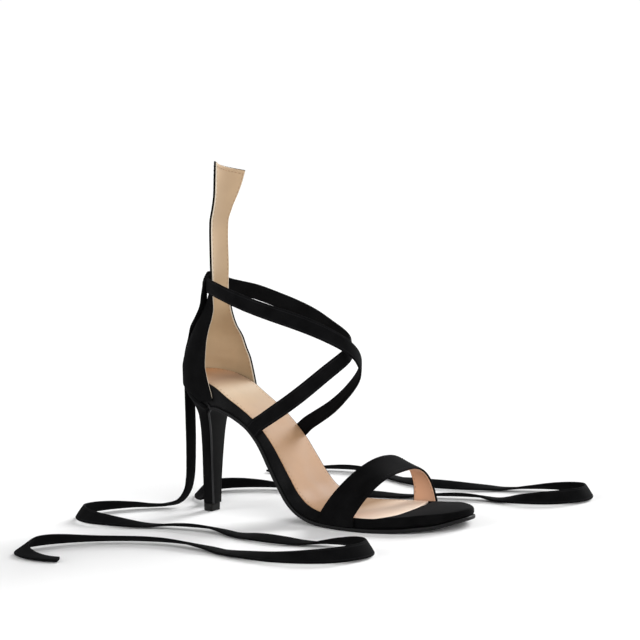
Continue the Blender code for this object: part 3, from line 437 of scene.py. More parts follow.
OUTSOLE_BACK = station_over(BREAST_AT + BREAST_COVER + 2 * GAP)
BOARD_STEP = [OUTSOLE_BACK - d for d in (0.0008, 0.0005)]   # where the board steps up over it


def insole_pull(share):
    """How far the insole's front edge lies behind its foremost place at a share across."""
    away = share - INSOLE_FRONT_PEAK
    reach = away / (math.copysign(1.0, away) - INSOLE_FRONT_PEAK)
    return INSOLE_FRONT_BOW * reach ** (2 if away > 0.0 else 3)


def bow_share(x):
    """How much of the insole's front curve a ring at x takes on: none at the toe's tip."""
    front = INSOLE_FRONT * SHOE_LENGTH
    back = INSOLE_BOW_START * SHOE_LENGTH
    return smooth_step(back, front, x) * smooth_step(SHOE_LENGTH, front, x)


def toe_rise(x):
    """0 under the insole and 1 on the bare toe, at a ring's station."""
    start = INSOLE_FRONT * SHOE_LENGTH + GAP
    return smooth_step(start, start + TOE_RISE_LENGTH, x)


def outsole_low(x):
    return -sole_thickness(x)


def outsole_high(x):
    return OUTSOLE_THICKNESS - sole_thickness(x)


def board_low(x):
    """Offset of the board's underside, which steps up over the outsole."""
    step = smooth_step(*BOARD_STEP, x)
    return -sole_thickness(x) + step * (OUTSOLE_THICKNESS + GAP)


HEEL_FRONT, HEEL_DEPTH, HEEL_HALF, HEEL_TILT = [column(HEEL_SECTIONS, i) for i in range(1, 5)]


def heel_section(height):
    """Front, depth, half width and tilt of the heel at a height over the floor."""
    share = height / HEEL_HEIGHT
    front = TIP_FRONT + (BREAST_AT - TIP_FRONT) * HEEL_FRONT(share)
    depth = TIP_DEPTH + (BREAST_AT - TIP_DEPTH) * HEEL_DEPTH(share)
    half = TIP_WIDTH / 2 + (SEAT_WIDTH - TIP_WIDTH) / 2 * HEEL_HALF(share)
    return front, depth, half, HEEL_TILT(share)


def counter_column(index):
    rows = [(i, row[index]) for i, row in enumerate(COUNTER_SECTIONS)]
    return column(rows, 1)


COUNTER_CURVES = [counter_column(i) for i in range(8)]
COUNTER_TOP = float(len(COUNTER_SECTIONS) - 1)
COUNTER_STEP = 0.0040       # length of the counter's rise over the outsole's back edge
SKEW_LEVELS = 3.0           # sections below the top over which the tab's skew grows


def counter_outer(level, t, side):
    """Outer point of the counter: level through the sections, t from back to front edge."""
    back_z, front_z, back, lateral, medial, half, wrap, seat = [c(level) for c in COUNTER_CURVES]
    front = medial if side > 0 else lateral
    wrap = math.radians(wrap)
    reach = (1 - math.cos(wrap * t)) / (1 - math.cos(wrap))
    x = SEAT_WIDTH * (back + (front - back) * reach)
    y = SEAT_WIDTH * half * math.sin(wrap * t) / math.sin(wrap)
    if seat > 0.0:
        y += (seat_half(x, side) - y) * seat
    z = TAB_HEIGHT * (back_z + (front_z - back_z) * reach)
    z -= TAB_SKEW * side * t * smooth_step(COUNTER_TOP - SKEW_LEVELS, COUNTER_TOP, level) / 2
    if level < 1.0:
        rim = max(underside_height(max(x, 0.0)), underside_height(BREAST_AT))
        over = smooth_step(BREAST_AT - COUNTER_STEP, BREAST_AT, x)
        rim += (OUTSOLE_THICKNESS + 2 * GAP) * over
        z = rim + (z - rim) * level
    return Vector((x, side * y, z))


def seat_half(x, side):
    """Half width of the counter's outer face round the seat, a gap and a wall off the board."""
    lateral, medial = edge(max(x, SEAT_CENTRE), -SEAT_WALL)
    half = medial if side > 0 else -lateral
    behind = clamp((SEAT_CENTRE - x) / SEAT_CENTRE, 0.0, 1.0)
    return half * math.sqrt(1.0 - behind ** 2)


def vamp_edge(v):
    rear, fore = VAMP_EDGES
    return [a + (b - a) * v for a, b in zip(rear, fore)]


def vamp_point(u, v, offset):
    """Point of the toe strap: u from lateral to medial side, v from rear to front edge."""
    lateral, medial, height, bow, lean, roundness = vamp_edge(v)
    angle = math.pi * (1 - u)
    lift = math.sin(angle) ** roundness if 0.0 < u < 1.0 else 0.0
    cosine = math.cos(angle)
    across = math.copysign(abs(cosine) ** roundness, cosine)
    share = (across + 1) / 2
    ends = []
    for place, side in ((lateral, 0), (medial, 1)):
        x = place * SHOE_LENGTH
        y = edge(x)[side] + (GAP + VAMP_WALL / 2 + offset) * (2 * side - 1)
        ends.append(Vector((x, y, footbed_height(x))))
    base = ends[0].lerp(ends[1], share)
    base.x += BALL_WIDTH * (bow * lift + lean * lift * across)
    base.z += (BALL_WIDTH * height + offset) * lift
    return base


def vamp_foot(side, v, offset, drop):
    """Point of the strap's lap over the board's side."""
    place = vamp_edge(v)[side] * SHOE_LENGTH
    low = board_low(place) + GAP
    y = edge(place)[side] + (GAP + VAMP_WALL / 2 + offset) * (2 * side - 1)
    return layer_point(place, low * drop, y)


def run_lengths(points):
    """Length along a route up to each of its points."""
    lengths = [0.0]
    for a, b in zip(points, points[1:]):
        lengths.append(lengths[-1] + (b.xyz - a.xyz).length)
    return lengths


def smooth_path(points, count):
    """Evenly spaced points on a smooth curve through the given ones."""
    dense = []
    for i in range(len(points) - 1):
        before = points[max(i - 1, 0)]
        start = points[i]
        end = points[i + 1]
        after = points[min(i + 2, len(points) - 1)]
        for step in range(12):
            t = step / 12
            a = start * 2
            b = (end - before) * t
            c = (before * 2 - start * 5 + end * 4 - after) * t * t
            d = (start * 3 - before - end * 3 + after) * t ** 3
            dense.append((a + b + c + d) / 2)
    dense.append(points[-1])
    lengths = run_lengths(dense)
    even = []
    for k in range(count):
        target = lengths[-1] * k / (count - 1)
        i = clamp(bisect.bisect_right(lengths, target) - 1, 0, len(dense) - 2)
        share = (target - lengths[i]) / max(lengths[i + 1] - lengths[i], 1e-9)
        even.append(dense[i].lerp(dense[i + 1], share))
    return even, lengths[-1]


ANKLE_AT = 0.376            # ankle's middle, as a share of SHOE_LENGTH
ANKLE_OVAL = 1.7            # ankle's length against its width
TAB_CLEARANCE = 0.0004      # between the ties and the curved tab
LATERAL_TIE_BASE = 0.332    # where each tie is lasted in, share of SHOE_LENGTH
MEDIAL_TIE_BASE = 0.363
TIE_BASE_CLEARANCE = 0.00048
TIE_POINTS = 62
TIE_EASING = 3              # passes that smooth a tie's worn bends
EASED_FROM = (0.04, 0.10)   # shares of a tie's worn length over which the easing comes in
EASED_TO = (0.84, 0.76)     # and over which it ends at the tab


def tie_base(side, place):
    """Three points up the board's side where a tie is lasted in."""
    outward = 2 * side - 1
    y = edge(place)[side] + (TIE_BASE_CLEARANCE + TIE_THICKNESS / 2) * outward
    low = board_low(place) + GAP
    return [layer_point(place, low * drop, y) for drop in (1.0, 0.5, 0.0)]


def tab_back(side, height, offset):
    """Point over the tab's back at a share of its half width, and the way it faces."""
    level = crossing(0.0, COUNTER_TOP, lambda m: counter_outer(m, 0.0, 1).z < height, 30)
    hand = 1 if side > 0 else -1
    away = min(abs(side), 1.0)
    step = 0.05
    point = counter_outer(level, away, hand)
    near = counter_outer(level, max(away - step, 0.0), hand)
    if away < step:
        near = counter_outer(level, step, -hand)
    above = counter_outer(level + 0.2, away, hand)
    face = (point - near).cross(above - point) * hand
    face.normalize()
    if face.x > 0.0:
        face.negate()
    return point + face * offset, face


def relaxed(points, passes):
    """The route with its worn bends eased; its base and its lap on the tab stay."""
    last = len(points) - 1
    for _ in range(passes):
        eased = [p.copy() for p in points]
        for i in range(1, last):
            share = i / last
            pull = smooth_step(*EASED_FROM, share) * smooth_step(*EASED_TO, share)
            middle = (points[i - 1] + points[i + 1]) / 2
            eased[i] = points[i].lerp(middle, pull / 2)
        points = eased
    return points


def face_near(route, point):
    """Facing of the route at a point, blended from the nearest two rows."""
    spans = []
    for (a, face_a), (b, face_b) in zip(route, route[1:]):
        run = b - a
        t = clamp((point - a).dot(run) / max(run.length_squared, 1e-12), 0.0, 1.0)
        spans.append(((point - a - run * t).length, face_a.lerp(face_b, t)))
    return min(spans, key=lambda span: span[0])[1].normalized()


def tail_route(route):
    """Evenly spaced points and facings of a loose end, cut at its length."""
    half_thickness = TIE_THICKNESS / 2
    floor = half_thickness + FLOOR_CLEARANCE
    rows = [Vector((x, y, max(z, floor), turn)) for x, y, z, turn in route]
    even, length = smooth_path(rows, TAIL_SAMPLES)
    last = TAIL_POINTS - 1
    picked = []
    turns = []
    for k in range(TAIL_POINTS):
        place = min(TAIL_LENGTH / length, 1.0) * (TAIL_SAMPLES - 1) * k / last
        i = min(int(place), TAIL_SAMPLES - 2)
        row = even[i].lerp(even[i + 1], place - i)
        picked.append(row.xyz)
        turns.append(math.radians(row.w))
    bends = []
    for i, here in enumerate(picked):
        before = picked[max(i - 3, 0)]
        after = picked[min(i + 3, last)]
        turned = (here - before).xy.cross((after - here).xy)
        size = (here - before).length * (after - here).length * (after - before).length / 2
        bends.append(turned / max(size, 1e-12))
    centres = []
    faces = []
    for i, point in enumerate(picked):
        near = bends[max(i - 2, 0):i + 3]
        roll = TAIL_ROLL * clamp(sum(near) / len(near) * TAIL_ROLL_RADIUS, -1.0, 1.0)
        roll *= smooth_step(LANDING_HEIGHT, floor, point.z)
        roll *= smooth_step(0.0, FLAT_END, 1.0 - i / last)
        along = (picked[min(i + 1, last)] - picked[max(i - 1, 0)]).normalized()
        hanging = Vector((-math.cos(turns[i]), math.sin(turns[i]), 1.0))
        lying = Vector((0.0, 0.0, 1.0))
        face = hanging.lerp(lying, smooth_step(floor + TIE_THICKNESS, floor, point.z))
        face = (face - along * face.dot(along)).normalized()
        across = along.cross(face)
        face = face * math.cos(roll) + across * math.sin(roll)
        lift = TIE_WIDTH / 2 * abs(math.sin(roll)) - half_thickness * (1 - math.cos(roll))
        centres.append(point + Vector((0.0, 0.0, lift)))
        faces.append(face)
    return centres, faces


# Camera: fitted to the photograph, aimed through the middle of its frame
CAMERA_AZIMUTH = 31.35
CAMERA_ELEVATION = 4.57
CAMERA_ROLL = 1.48
CAMERA_DISTANCE = 1.5123
CAMERA_TARGET = (-0.0350, 0.0019, 0.1304)
CAMERA_LENS = 130.44        # millimetres
SENSOR_WIDTH = 36.0

# Sizes of the detail that the solids leave out
SUEDE_LAYER = 0.0012        # cover of the counter and the toe strap, out of their wall
LINING_INSET = 0.0005       # counter lining's cut edge behind the cover's folded edge
VAMP_LINING_INSET = 0.0011  # the same on the toe strap
STITCH_PITCH = 0.0031
STITCH_LENGTH = 0.0021
THREAD_RADIUS = 0.00021
STITCH_RISES = (-0.7, 0.15, 0.55, 0.55, 0.15, -0.7)     # along a stitch, in thread radii
STITCH_TAPER = 0.55         # share of the thread's radius at a stitch's ends
STITCH_MARGIN = 0.0019      # stitching from the edge that it follows
SOCK_MARGIN = 0.0026        # insole's stitching from its edge
SOCK_DIP = 0.00012          # trough that the stitching draws in
SOCK_DIP_WIDTH = 0.0007
SOCK_STITCH_END = 0.72      # share of SHOE_LENGTH at which it runs under the toe strap
RIM_DROP = 0.00025          # board's rim below the insole's top
TOE_SOFT = 0.0020           # rounding of the bare toe's edge
TOE_FALL = 0.62             # share of that rounding by which the toe's tip is lowered
BREAST_HALF = 0.0130        # breast facing's greatest half width
BEAD_WIDTH = 0.0008         # rolled edge of the breast facing
BEAD_RISE = 0.0003
BREAST_LAYER = 0.0007       # facing's thickness at its sides
BREAST_BOW = 0.0003         # and what its middle adds
BREAST_SINK = 0.0001        # facing's back, let into the heel
BREAST_SIDE = 0.0005        # its edge inside the heel's
BREAST_AHEAD = 0.0005       # before its back, where it meets the sole
BREAST_SHOULDER = 0.80      # share of its half width at which its top turns down
BREAST_DROP = 0.0022        # fall of its top corners
BEAD_FALL = 0.0004          # chamfer of the bead's outer edge
BEAD_FALL_END = 0.25        # share of the bead's width that the chamfer takes
HEEL_TUCK = 0.0003          # heel's top drawn in under the counter's lower edge
HEEL_TUCK_LENGTH = 0.0050
HEEL_AXIS = 0.024           # place along the seat that it is drawn in to
TIE_GROOVE = 0.0014         # stitched groove from each edge of a tie
TIE_GROOVE_DEPTH = 0.00016
TIE_GROOVE_WIDTH = 0.00028
TIE_SWELL = 0.00010         # rise of a tie's middle over its edges
FOLD_GAP = 0.0002           # between the two layers of a tie's fold
FOLD_INNER = 0.00005        # least radius inside the fold, and its faces' drop
WORN_ROWS = 300             # rows of a tie's worn length
LOOSE_ROWS = 470            # rows of its loose end
TAIL_CUT = 0.35             # slant of a tie's cut end
SLANT_FADE = 0.012          # length over which a slanted end comes square
CUP_FADE = 0.016            # length over which a hanging end leaves the tab's curve
TAB_CUP = 42.0              # curl of that end, as half of one over the tab's radius
FOLD_STEPS = 14
FLOOR_DROP = 0.0002         # floor under the treads, clear of their faces
FLOOR_HALF = 7.0
WORLD_LEVEL = 1.02          # world's strength at eye level
WORLD_OVERHEAD = 0.17
WORLD_FADE = (0.22, 0.55)   # rise over which it falls to the strength overhead
SUNS = [
    # name, toward, energy, angle
    ("back_panel", (0.12, 1.00, 0.48), 3.6, 30.0),
    ("front_panel", (0.80, -0.50, 0.50), 1.6, 50.0),
    ("side_panel", (-0.45, -0.85, 0.35), 1.1, 40.0),
]


def add_object(name, data):
    made = bpy.data.objects.new(name, data)
    bpy.context.scene.collection.objects.link(made)
    return made


class Collector:
    """Grids of points that make one piece, with a material slot for each face."""

    def __init__(self):
        self.points = []
        self.faces = []
        self.slots = []

    def grid(self, rows, slot=0, closed=False):
        """Joins rows of points; slot is a number or a function of the column."""
        first = len(self.points)
        size = len(rows[0])
        for row in rows:
            self.points.extend(Vector(p) for p in row)
        for r in range(len(rows) - 1):
            for c in range(size if closed else size - 1):
                a = first + r * size + c
                b = first + r * size + (c + 1) % size
                self.faces.append((a, b, b + size, a + size))
                self.slots.append(slot(c) if callable(slot) else slot)

    def cap(self, ring):
        first = len(self.points)
        self.points.extend(Vector(p) for p in ring)
        self.faces.append(tuple(range(first, first + len(ring))))
        self.slots.append(0)

    def tube(self, rows, slot=0):
        """Closed rings joined into a skin and capped at both ends."""
        self.grid(rows, slot, closed=True)
        self.cap(rows[0])
        self.cap(rows[-1])

    def build(self, name, materials, record_slot, replaced=(), sharp=50.0):
        """Makes the piece, rides it on the shoe and hides the solids that it stands for."""
        mesh = bpy.data.meshes.new(name)
        mesh.from_pydata([placed(p) for p in self.points], [], self.faces)
        mesh.polygons.foreach_set("material_index", self.slots)
        for material in materials:
            mesh.materials.append(material)
        work = bmesh.new()
        work.from_mesh(mesh)
        bmesh.ops.remove_doubles(work, verts=work.verts, dist=2e-6)
        bmesh.ops.dissolve_degenerate(work, edges=work.edges, dist=1e-7)
        bmesh.ops.recalc_face_normals(work, faces=work.faces)
        work.to_mesh(mesh)
        work.free()
        mesh.shade_smooth()
        mesh.set_sharp_from_angle(angle=math.radians(sharp))
        piece = add_object(name, mesh)
        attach(piece, "root")
        if replaced:
            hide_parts(*replaced)
        return piece


def tube_piece(rows, name, materials, record_slot, replaced, slot=0, sharp=50.0):
    """Piece made of one tube, which stands for one solid."""
    piece = Collector()
    piece.tube(rows, slot)
    piece.build(name, materials, record_slot, [replaced], sharp)


def distances(points):
    """Length along an array of points up to each of them."""
    steps = np.linalg.norm(np.diff(points, axis=0), axis=1)
    return np.concatenate([[0.0], np.cumsum(steps)])


class Shell:
    """Wall between an outer and an inner grid, read by shares across and along it."""

    def __init__(self, outer, inner, wall):
        self.outer = self.even(outer)
        self.inner = self.even(inner)
        self.wall = wall

    @staticmethod
    def even(rows):
        """The grid with each row's points moved to even distances."""
        grid = np.array([[tuple(p) for p in row] for row in rows])
        for row in grid:
            length = distances(row)
            share = np.linspace(0.0, length[-1], len(row))
            row[:] = np.stack([np.interp(share, length, row[:, k]) for k in range(3)], 1)
        return grid

    def at(self, across, along, depth):
        """Point at a depth under the outer face."""
        rows, cols = self.outer.shape[:2]
        v = clamp(along, 0.0, 1.0) * (rows - 1)
        u = clamp(across, 0.0, 1.0) * (cols - 1)
        r = min(int(v), rows - 2)
        c = min(int(u), cols - 2)
        v -= r
        u -= c
        found = []
        for grid in (self.outer, self.inner):
            low = grid[r, c] * (1 - u) + grid[r, c + 1] * u
            high = grid[r + 1, c] * (1 - u) + grid[r + 1, c + 1] * u
            found.append(low * (1 - v) + high * v)
        share = depth / self.wall
        return Vector(found[0] * (1 - share) + found[1] * share)

    def row_length(self, along):
        rows = self.outer.shape[0]
        row = self.outer[min(int(along * (rows - 1)), rows - 1)]
        return float(np.linalg.norm(np.diff(row, axis=0), axis=1).sum())

    def step_length(self, across, along):
        """Length along the wall for a whole share, near one place."""
        rows, cols = self.outer.shape[:2]
        r = min(int(along * (rows - 1)), rows - 2)
        c = min(int(across * (cols - 1)), cols - 1)
        return float(np.linalg.norm(self.outer[r + 1, c] - self.outer[r, c])) * (rows - 1)


def layer_panel(piece, shell, near, far, inset, across, along, slots):
    """Closed layer of a shell between two depths, rolled over at all its edges."""
    middle = (near + far) / 2
    radius = (far - near) / 2
    start = shell.step_length(0.5, 0.0)
    end = shell.step_length(0.5, 0.999)
    rolls = radians(0, 22, 45, 68, 90)
    low = (inset + radius) / start
    high = 1 - (inset + radius) / end
    levels = [((inset + radius - radius * math.sin(a)) / start, math.cos(a))
              for a in reversed(rolls)]
    levels += [(low + (high - low) * k / along, 1.0) for k in range(1, along)]
    levels += [(1 - (inset + radius - radius * math.sin(a)) / end, math.cos(a)) for a in rolls]
    turns = radians(-68, -45, -22, 0, 22, 45, 68)
    rows = []
    for level, share in levels:
        length = shell.row_length(level)
        half = radius * share
        side = (inset + radius) / length
        shares = [side + (1 - 2 * side) * k / across for k in range(across + 1)]
        rim = [((inset + radius - half * math.cos(a)) / length, middle + half * math.sin(a))
               for a in turns]
        ring = [(u, middle - half) for u in shares] + [(1 - u, depth) for u, depth in rim]
        ring += [(u, middle + half) for u in reversed(shares)] + rim[::-1]
        rows.append([shell.at(u, level, depth) for u, depth in ring])
    face, rim, back = slots
    back_at = across + len(turns) + 1

    def slot(c):
        if c < across:
            return face
        if back_at <= c < back_at + across:
            return back
        return rim

    piece.grid(rows, slot, closed=True)


def stitch_row(piece, path, outward, sink=0.00006):
    """Short curved stitches along a path; outward faces away from the sewn surface."""
    points = np.array([tuple(p) for p in path])
    ups = np.array([tuple(n) for n in outward])
    length = distances(points)

    def read(values, place):
        return Vector([float(np.interp(place, length, values[:, k])) for k in range(3)])

    count = int(length[-1] / STITCH_PITCH)
    for k in range(count):
        start = k * STITCH_PITCH + (length[-1] - count * STITCH_PITCH) / 2
        rings = []
        for j, rise in enumerate(STITCH_RISES):
            place = start + STITCH_LENGTH * j / (len(STITCH_RISES) - 1)
            up = read(ups, place).normalized()
            here = read(points, place)
            along = (read(points, place + 1e-4) - read(points, place - 1e-4)).normalized()
            side = along.cross(up).normalized()
            centre = here + up * (THREAD_RADIUS * rise - sink)
            size = THREAD_RADIUS * (STITCH_TAPER if j in (0, len(STITCH_RISES) - 1) else 1.0)
            rings.append([centre + (side * math.cos(t) + up * math.sin(t)) * size
                          for t in (math.tau * i / 6 for i in range(6))])
        piece.tube(rings)


def shell_path(shell, depth, lift, corners, count):
    """Path over a shell's face through (across, along) places, with the way it faces."""
    path = []
    facing = []
    for (u0, v0), (u1, v1) in zip(corners, corners[1:]):
        for k in range(count):
            t = k / count
            u = u0 + (u1 - u0) * t
            v = v0 + (v1 - v0) * t
            here = shell.at(u, v, depth)
            other = shell.at(u, v, depth + lift)
            path.append(here)
            facing.append((other - here).normalized())
    return path, facing


# Materials


def node_material(name, colour, roughness, specular, **sockets):
    material = bpy.data.materials.new(name)
    material.use_nodes = True
    shader = material.node_tree.nodes["Principled BSDF"]
    shader.inputs["Base Color"].default_value = (*colour, 1.0)
    shader.inputs["Roughness"].default_value = roughness
    shader.inputs["Specular IOR Level"].default_value = specular
    for key, value in sockets.items():
        shader.inputs[key.replace("_", " ")].default_value = value
    return material


def texture(material, kind, **values):
    """Texture over the object's own metres."""
    tree = material.node_tree
    place = tree.nodes.new("ShaderNodeTexCoord")
    node = tree.nodes.new(kind)
    for key, value in values.items():
        node.inputs[key].default_value = value
    tree.links.new(place.outputs["Object"], node.inputs["Vector"])
    return node


def noise(material, scale, detail=4.0):
    return texture(material, "ShaderNodeTexNoise", Scale=scale, Detail=detail).outputs["Fac"]


def pebbles(material, scale):
    """Rounded cells of a leather grain; gives the socket of its value."""
    node = texture(material, "ShaderNodeTexVoronoi", Scale=scale)
    node.feature = "SMOOTH_F1"
    return node.outputs["Distance"]


def ramp(material, value, stops):
    """Colours read from a value; stops are (place, colour)."""
    tree = material.node_tree
    node = tree.nodes.new("ShaderNodeValToRGB")
    elements = node.color_ramp.elements
    for element, (place, colour) in zip(elements, stops):
        element.position = place
        element.color = (*colour, 1.0)
    for place, colour in stops[2:]:
        element = elements.new(place)
        element.color = (*colour, 1.0)
    tree.links.new(value, node.inputs["Fac"])
    return node.outputs["Color"]


def bumps(material, layers):
    """Chains (value, strength, depth) into the shader's normal."""
    tree = material.node_tree
    before = None
    for value, strength, depth in layers:
        node = tree.nodes.new("ShaderNodeBump")
        node.inputs["Strength"].default_value = strength
        node.inputs["Distance"].default_value = depth
        tree.links.new(value, node.inputs["Height"])
        if before:
            tree.links.new(before, node.inputs["Normal"])
        before = node.outputs["Normal"]
    tree.links.new(before, tree.nodes["Principled BSDF"].inputs["Normal"])


def link(material, socket, name):
    tree = material.node_tree
    tree.links.new(socket, tree.nodes["Principled BSDF"].inputs[name])


def mapped(tree, value, before, after=(0.0, 1.0)):
    """Value taken from one range to another; gives its socket."""
    node = tree.nodes.new("ShaderNodeMapRange")
    for key, amount in zip(("From Min", "From Max", "To Min", "To Max"), before + after):
        node.inputs[key].default_value = amount
    tree.links.new(value, node.inputs["Value"])
    return node.outputs["Result"]


def axis_value(tree, space, axis):
    """Place along one axis of a space; gives its socket."""
    place = tree.nodes.new("ShaderNodeTexCoord")
    split = tree.nodes.new("ShaderNodeSeparateXYZ")
    tree.links.new(place.outputs[space], split.inputs["Vector"])
    return split.outputs[axis]


def spread_roughness(material, value, low, high):
    """Roughness from low to high over the middle range of a noise."""
    link(material, mapped(material.node_tree, value, (0.3, 0.7), (low, high)), "Roughness")


def along_axis(material, axis, low, high):
    """Place between two levels of an axis of the object; gives the socket of its value."""
    tree = material.node_tree
    return mapped(tree, axis_value(tree, "Object", axis), (low, high))


def multiplied(material, first, second, factor=1.0):
    """Colour multiplied by another as far as factor says; gives its socket."""
    tree = material.node_tree
    mix = tree.nodes.new("ShaderNodeMix")
    mix.data_type = "RGBA"
    mix.blend_type = "MULTIPLY"
    mix.inputs["Factor"].default_value = factor
    tree.links.new(first, mix.inputs["A"])
    tree.links.new(second, mix.inputs["B"])
    return mix.outputs["Result"]


def suede(name, dark, light, nap, painted_shades=()):
    """Napped cloth: brushed patches, a short fibre and a dull sheen.

    painted_shades are grey stops along the shoe that it is multiplied by: painted light and shade.
    """
    material = node_material(name, dark, 0.92, 0.02, Sheen_Weight=0.03, Sheen_Roughness=0.45,
                             Sheen_Tint=(0.24, 0.24, 0.26, 1.0))
    patches = noise(material, 85.0, 5.0)
    fibre = noise(material, nap, 3.0)
    colour = ramp(material, patches, [(0.32, dark), (0.70, light)])
    if painted_shades:
        along = along_axis(material, "X", -ORIGIN_AT, SHOE_LENGTH - ORIGIN_AT)
        stops = [(place, (grey, grey, grey)) for place, grey in painted_shades]
        colour = multiplied(material, colour, ramp(material, along, stops))
    speckle = ramp(material, fibre, [(0.30, (0.55, 0.55, 0.55)), (0.72, (1.35, 1.35, 1.38))])
    link(material, multiplied(material, colour, speckle, 0.75), "Base Color")
    spread_roughness(material, patches, 0.84, 0.98)
    bumps(material, [(patches, 0.12, 0.0006), (fibre, 0.45, 0.00012)])
    return material


def lining(name, tones, axis="Z", low=0.0, high=1.0, grain=1500.0, gloss=0.30):
    """Smooth leather with a fine pebble grain, faint mottling and tones along an axis."""
    material = node_material(name, tones[0][1], 0.50, gloss)
    mottle = noise(material, 50.0, 6.0)
    pores = pebbles(material, grain)
    cloud = ramp(material, mottle, [(0.28, (0.92, 0.91, 0.90)), (0.74, (1.06, 1.06, 1.07))])
    toned = ramp(material, along_axis(material, axis, low, high), tones)
    link(material, multiplied(material, toned, cloud), "Base Color")
    spread_roughness(material, mottle, 0.44, 0.58)
    bumps(material, [(mottle, 0.12, 0.0009), (pores, 0.22, 0.00008)])
    return material


def smooth_finish(name, colour, roughness, specular, grain, strength):
    """Moulded or coated surface with a faint grain."""
    material = node_material(name, colour, roughness, specular)
    fine = noise(material, grain, 4.0)
    wide = noise(material, grain / 14.0, 3.0)
    dark = tuple(c * 0.8 for c in colour)
    pale = tuple(c * 1.25 for c in colour)
    link(material, ramp(material, wide, [(0.3, dark), (0.7, pale)]), "Base Color")
    spread_roughness(material, wide, roughness - 0.05, roughness + 0.06)
    bumps(material, [(fine, strength, 0.00006)])
    return material


def tread_finish(name, colour):
    """Sole's underside: fine crossed ribs."""
    material = node_material(name, colour, 0.62, 0.30)
    tree = material.node_tree
    place = tree.nodes.new("ShaderNodeTexCoord")
    waves = []
    for turn in (0.6, -0.6):
        mapping = tree.nodes.new("ShaderNodeMapping")
        mapping.inputs["Rotation"].default_value = (0.0, 0.0, turn)
        wave = tree.nodes.new("ShaderNodeTexWave")
        wave.bands_direction = "Y"
        wave.inputs["Scale"].default_value = 120.0
        tree.links.new(place.outputs["Object"], mapping.inputs["Vector"])
        tree.links.new(mapping.outputs["Vector"], wave.inputs["Vector"])
        waves.append(wave.outputs["Fac"])
    dust = noise(material, 900.0)
    pale = tuple(c * 1.7 for c in colour)
    link(material, ramp(material, dust, [(0.35, colour), (0.75, pale)]), "Base Color")
    bumps(material, [(waves[0], 0.5, 0.0004), (waves[1], 0.5, 0.0004), (dust, 0.3, 0.00008)])
    return material


SOCK_TONES_AND_PAINTED_LIGHT = [
    # share of the shoe's length, colour. Partly the insole's own tan, partly painted light and
    # shade that rises and falls along it
    (0.00, (0.600, 0.320, 0.155)), (0.06, (0.600, 0.330, 0.170)),
    (0.10, (0.520, 0.325, 0.200)), (0.135, (0.410, 0.270, 0.180)),
    (0.20, (0.530, 0.395, 0.260)), (0.32, (0.450, 0.280, 0.163)),
    (0.50, (0.390, 0.232, 0.130)), (0.62, (0.400, 0.250, 0.142)),
    (0.74, (0.890, 0.730, 0.590)),
]

TAN_TONES_AND_PAINTED_LIGHT = [
    # share of the height from the seat to the tab's top, colour. Partly the lining's own tan,
    # partly painted light: paler low in the counter, darker up the tab
    (0.00, (0.470, 0.340, 0.205)), (0.30, (0.530, 0.385, 0.235)),
    (0.45, (0.450, 0.320, 0.195)), (1.00, (0.425, 0.295, 0.178)),
]
SUEDE = suede("black_suede", (0.0023, 0.0023, 0.0024), (0.0050, 0.0050, 0.0052), 2600.0)
# Board cover: its grey stops darken it towards the toe, painted shade
BOARD_SUEDE = suede("black_board_suede_painted_shade", (0.0058, 0.0058, 0.0060), (0.0128, 0.0128, 0.0131), 2600.0,
                    [(0.0, 1.0), (0.45, 0.80), (0.62, 0.38), (1.0, 0.34)])
TIE_SUEDE = suede("black_tie_suede", (0.0028, 0.0028, 0.0030), (0.0058, 0.0058, 0.0061), 3000.0)
TIE_BACK = suede("black_tie_backing", (0.0032, 0.0032, 0.0033), (0.0060, 0.0060, 0.0062), 3000.0)
# Paler suede on the faces along each tie's groove, a painted highlight
TIE_SEAM_HIGHLIGHT = suede("black_tie_seam_painted_highlight", (0.0090, 0.0090, 0.0095), (0.0160, 0.0160, 0.0170), 3000.0)
# Counter lining: its tones up the height are partly painted light
TAN = lining("tan_lining", TAN_TONES_AND_PAINTED_LIGHT, "Z", 0.090, TAB_HEIGHT)
STRAP_TAN = lining("toe_strap_tan", [(0.0, (0.560, 0.325, 0.205)), (1.0, (0.620, 0.380, 0.250))])
# Insole: its tones along the shoe are partly painted light and shade
SOCK = lining("tan_insole_painted_light", SOCK_TONES_AND_PAINTED_LIGHT, "X", -ORIGIN_AT, SHOE_LENGTH - ORIGIN_AT, 1300.0, 0.06)
CUT_EDGE = lining("cut_leather_edge", [(0.0, (0.600, 0.520, 0.410)), (1.0, (0.640, 0.560, 0.450))],
                  grain=2600.0)
BREAST = smooth_finish("satin_black_facing", (0.0030, 0.0030, 0.0032), 0.46, 0.05, 1600.0, 0.12)
# Rolled bead round the breast facing: its shape is modelled, its paler black is a painted highlight
BEAD_PAINTED_HIGHLIGHT = smooth_finish("bead_black_painted_highlight", (0.014, 0.014, 0.015), 0.40, 0.24, 1600.0, 0.10)
RUBBER = smooth_finish("black_sole_unit", (0.0046, 0.0046, 0.0048), 0.52, 0.12, 1100.0, 0.20)
TREAD = tread_finish("black_tread", (0.009, 0.009, 0.009))
TIP = smooth_finish("black_top_piece", (0.0060, 0.0058, 0.0054), 0.50, 0.12, 1400.0, 0.25)
BLACK_THREAD = smooth_finish("black_thread", (0.0036, 0.0036, 0.0038), 0.70, 0.06, 5000.0, 0.5)
TAN_THREAD = smooth_finish("tan_thread", (0.330, 0.205, 0.125), 0.62, 0.20, 5000.0, 0.5)


# Sole


RIM_LIP = 0.00042           # width of the board's lip round the insole
RIM_FOOT = 0.00055          # the lip's foot from its outer edge
RING_FLAT = 24              # columns of a ring's underside
LEAST_SIZE = 0.0002         # least half width and thickness of a ring
MOST_SOFT = 0.45            # greatest rounding as a share of either


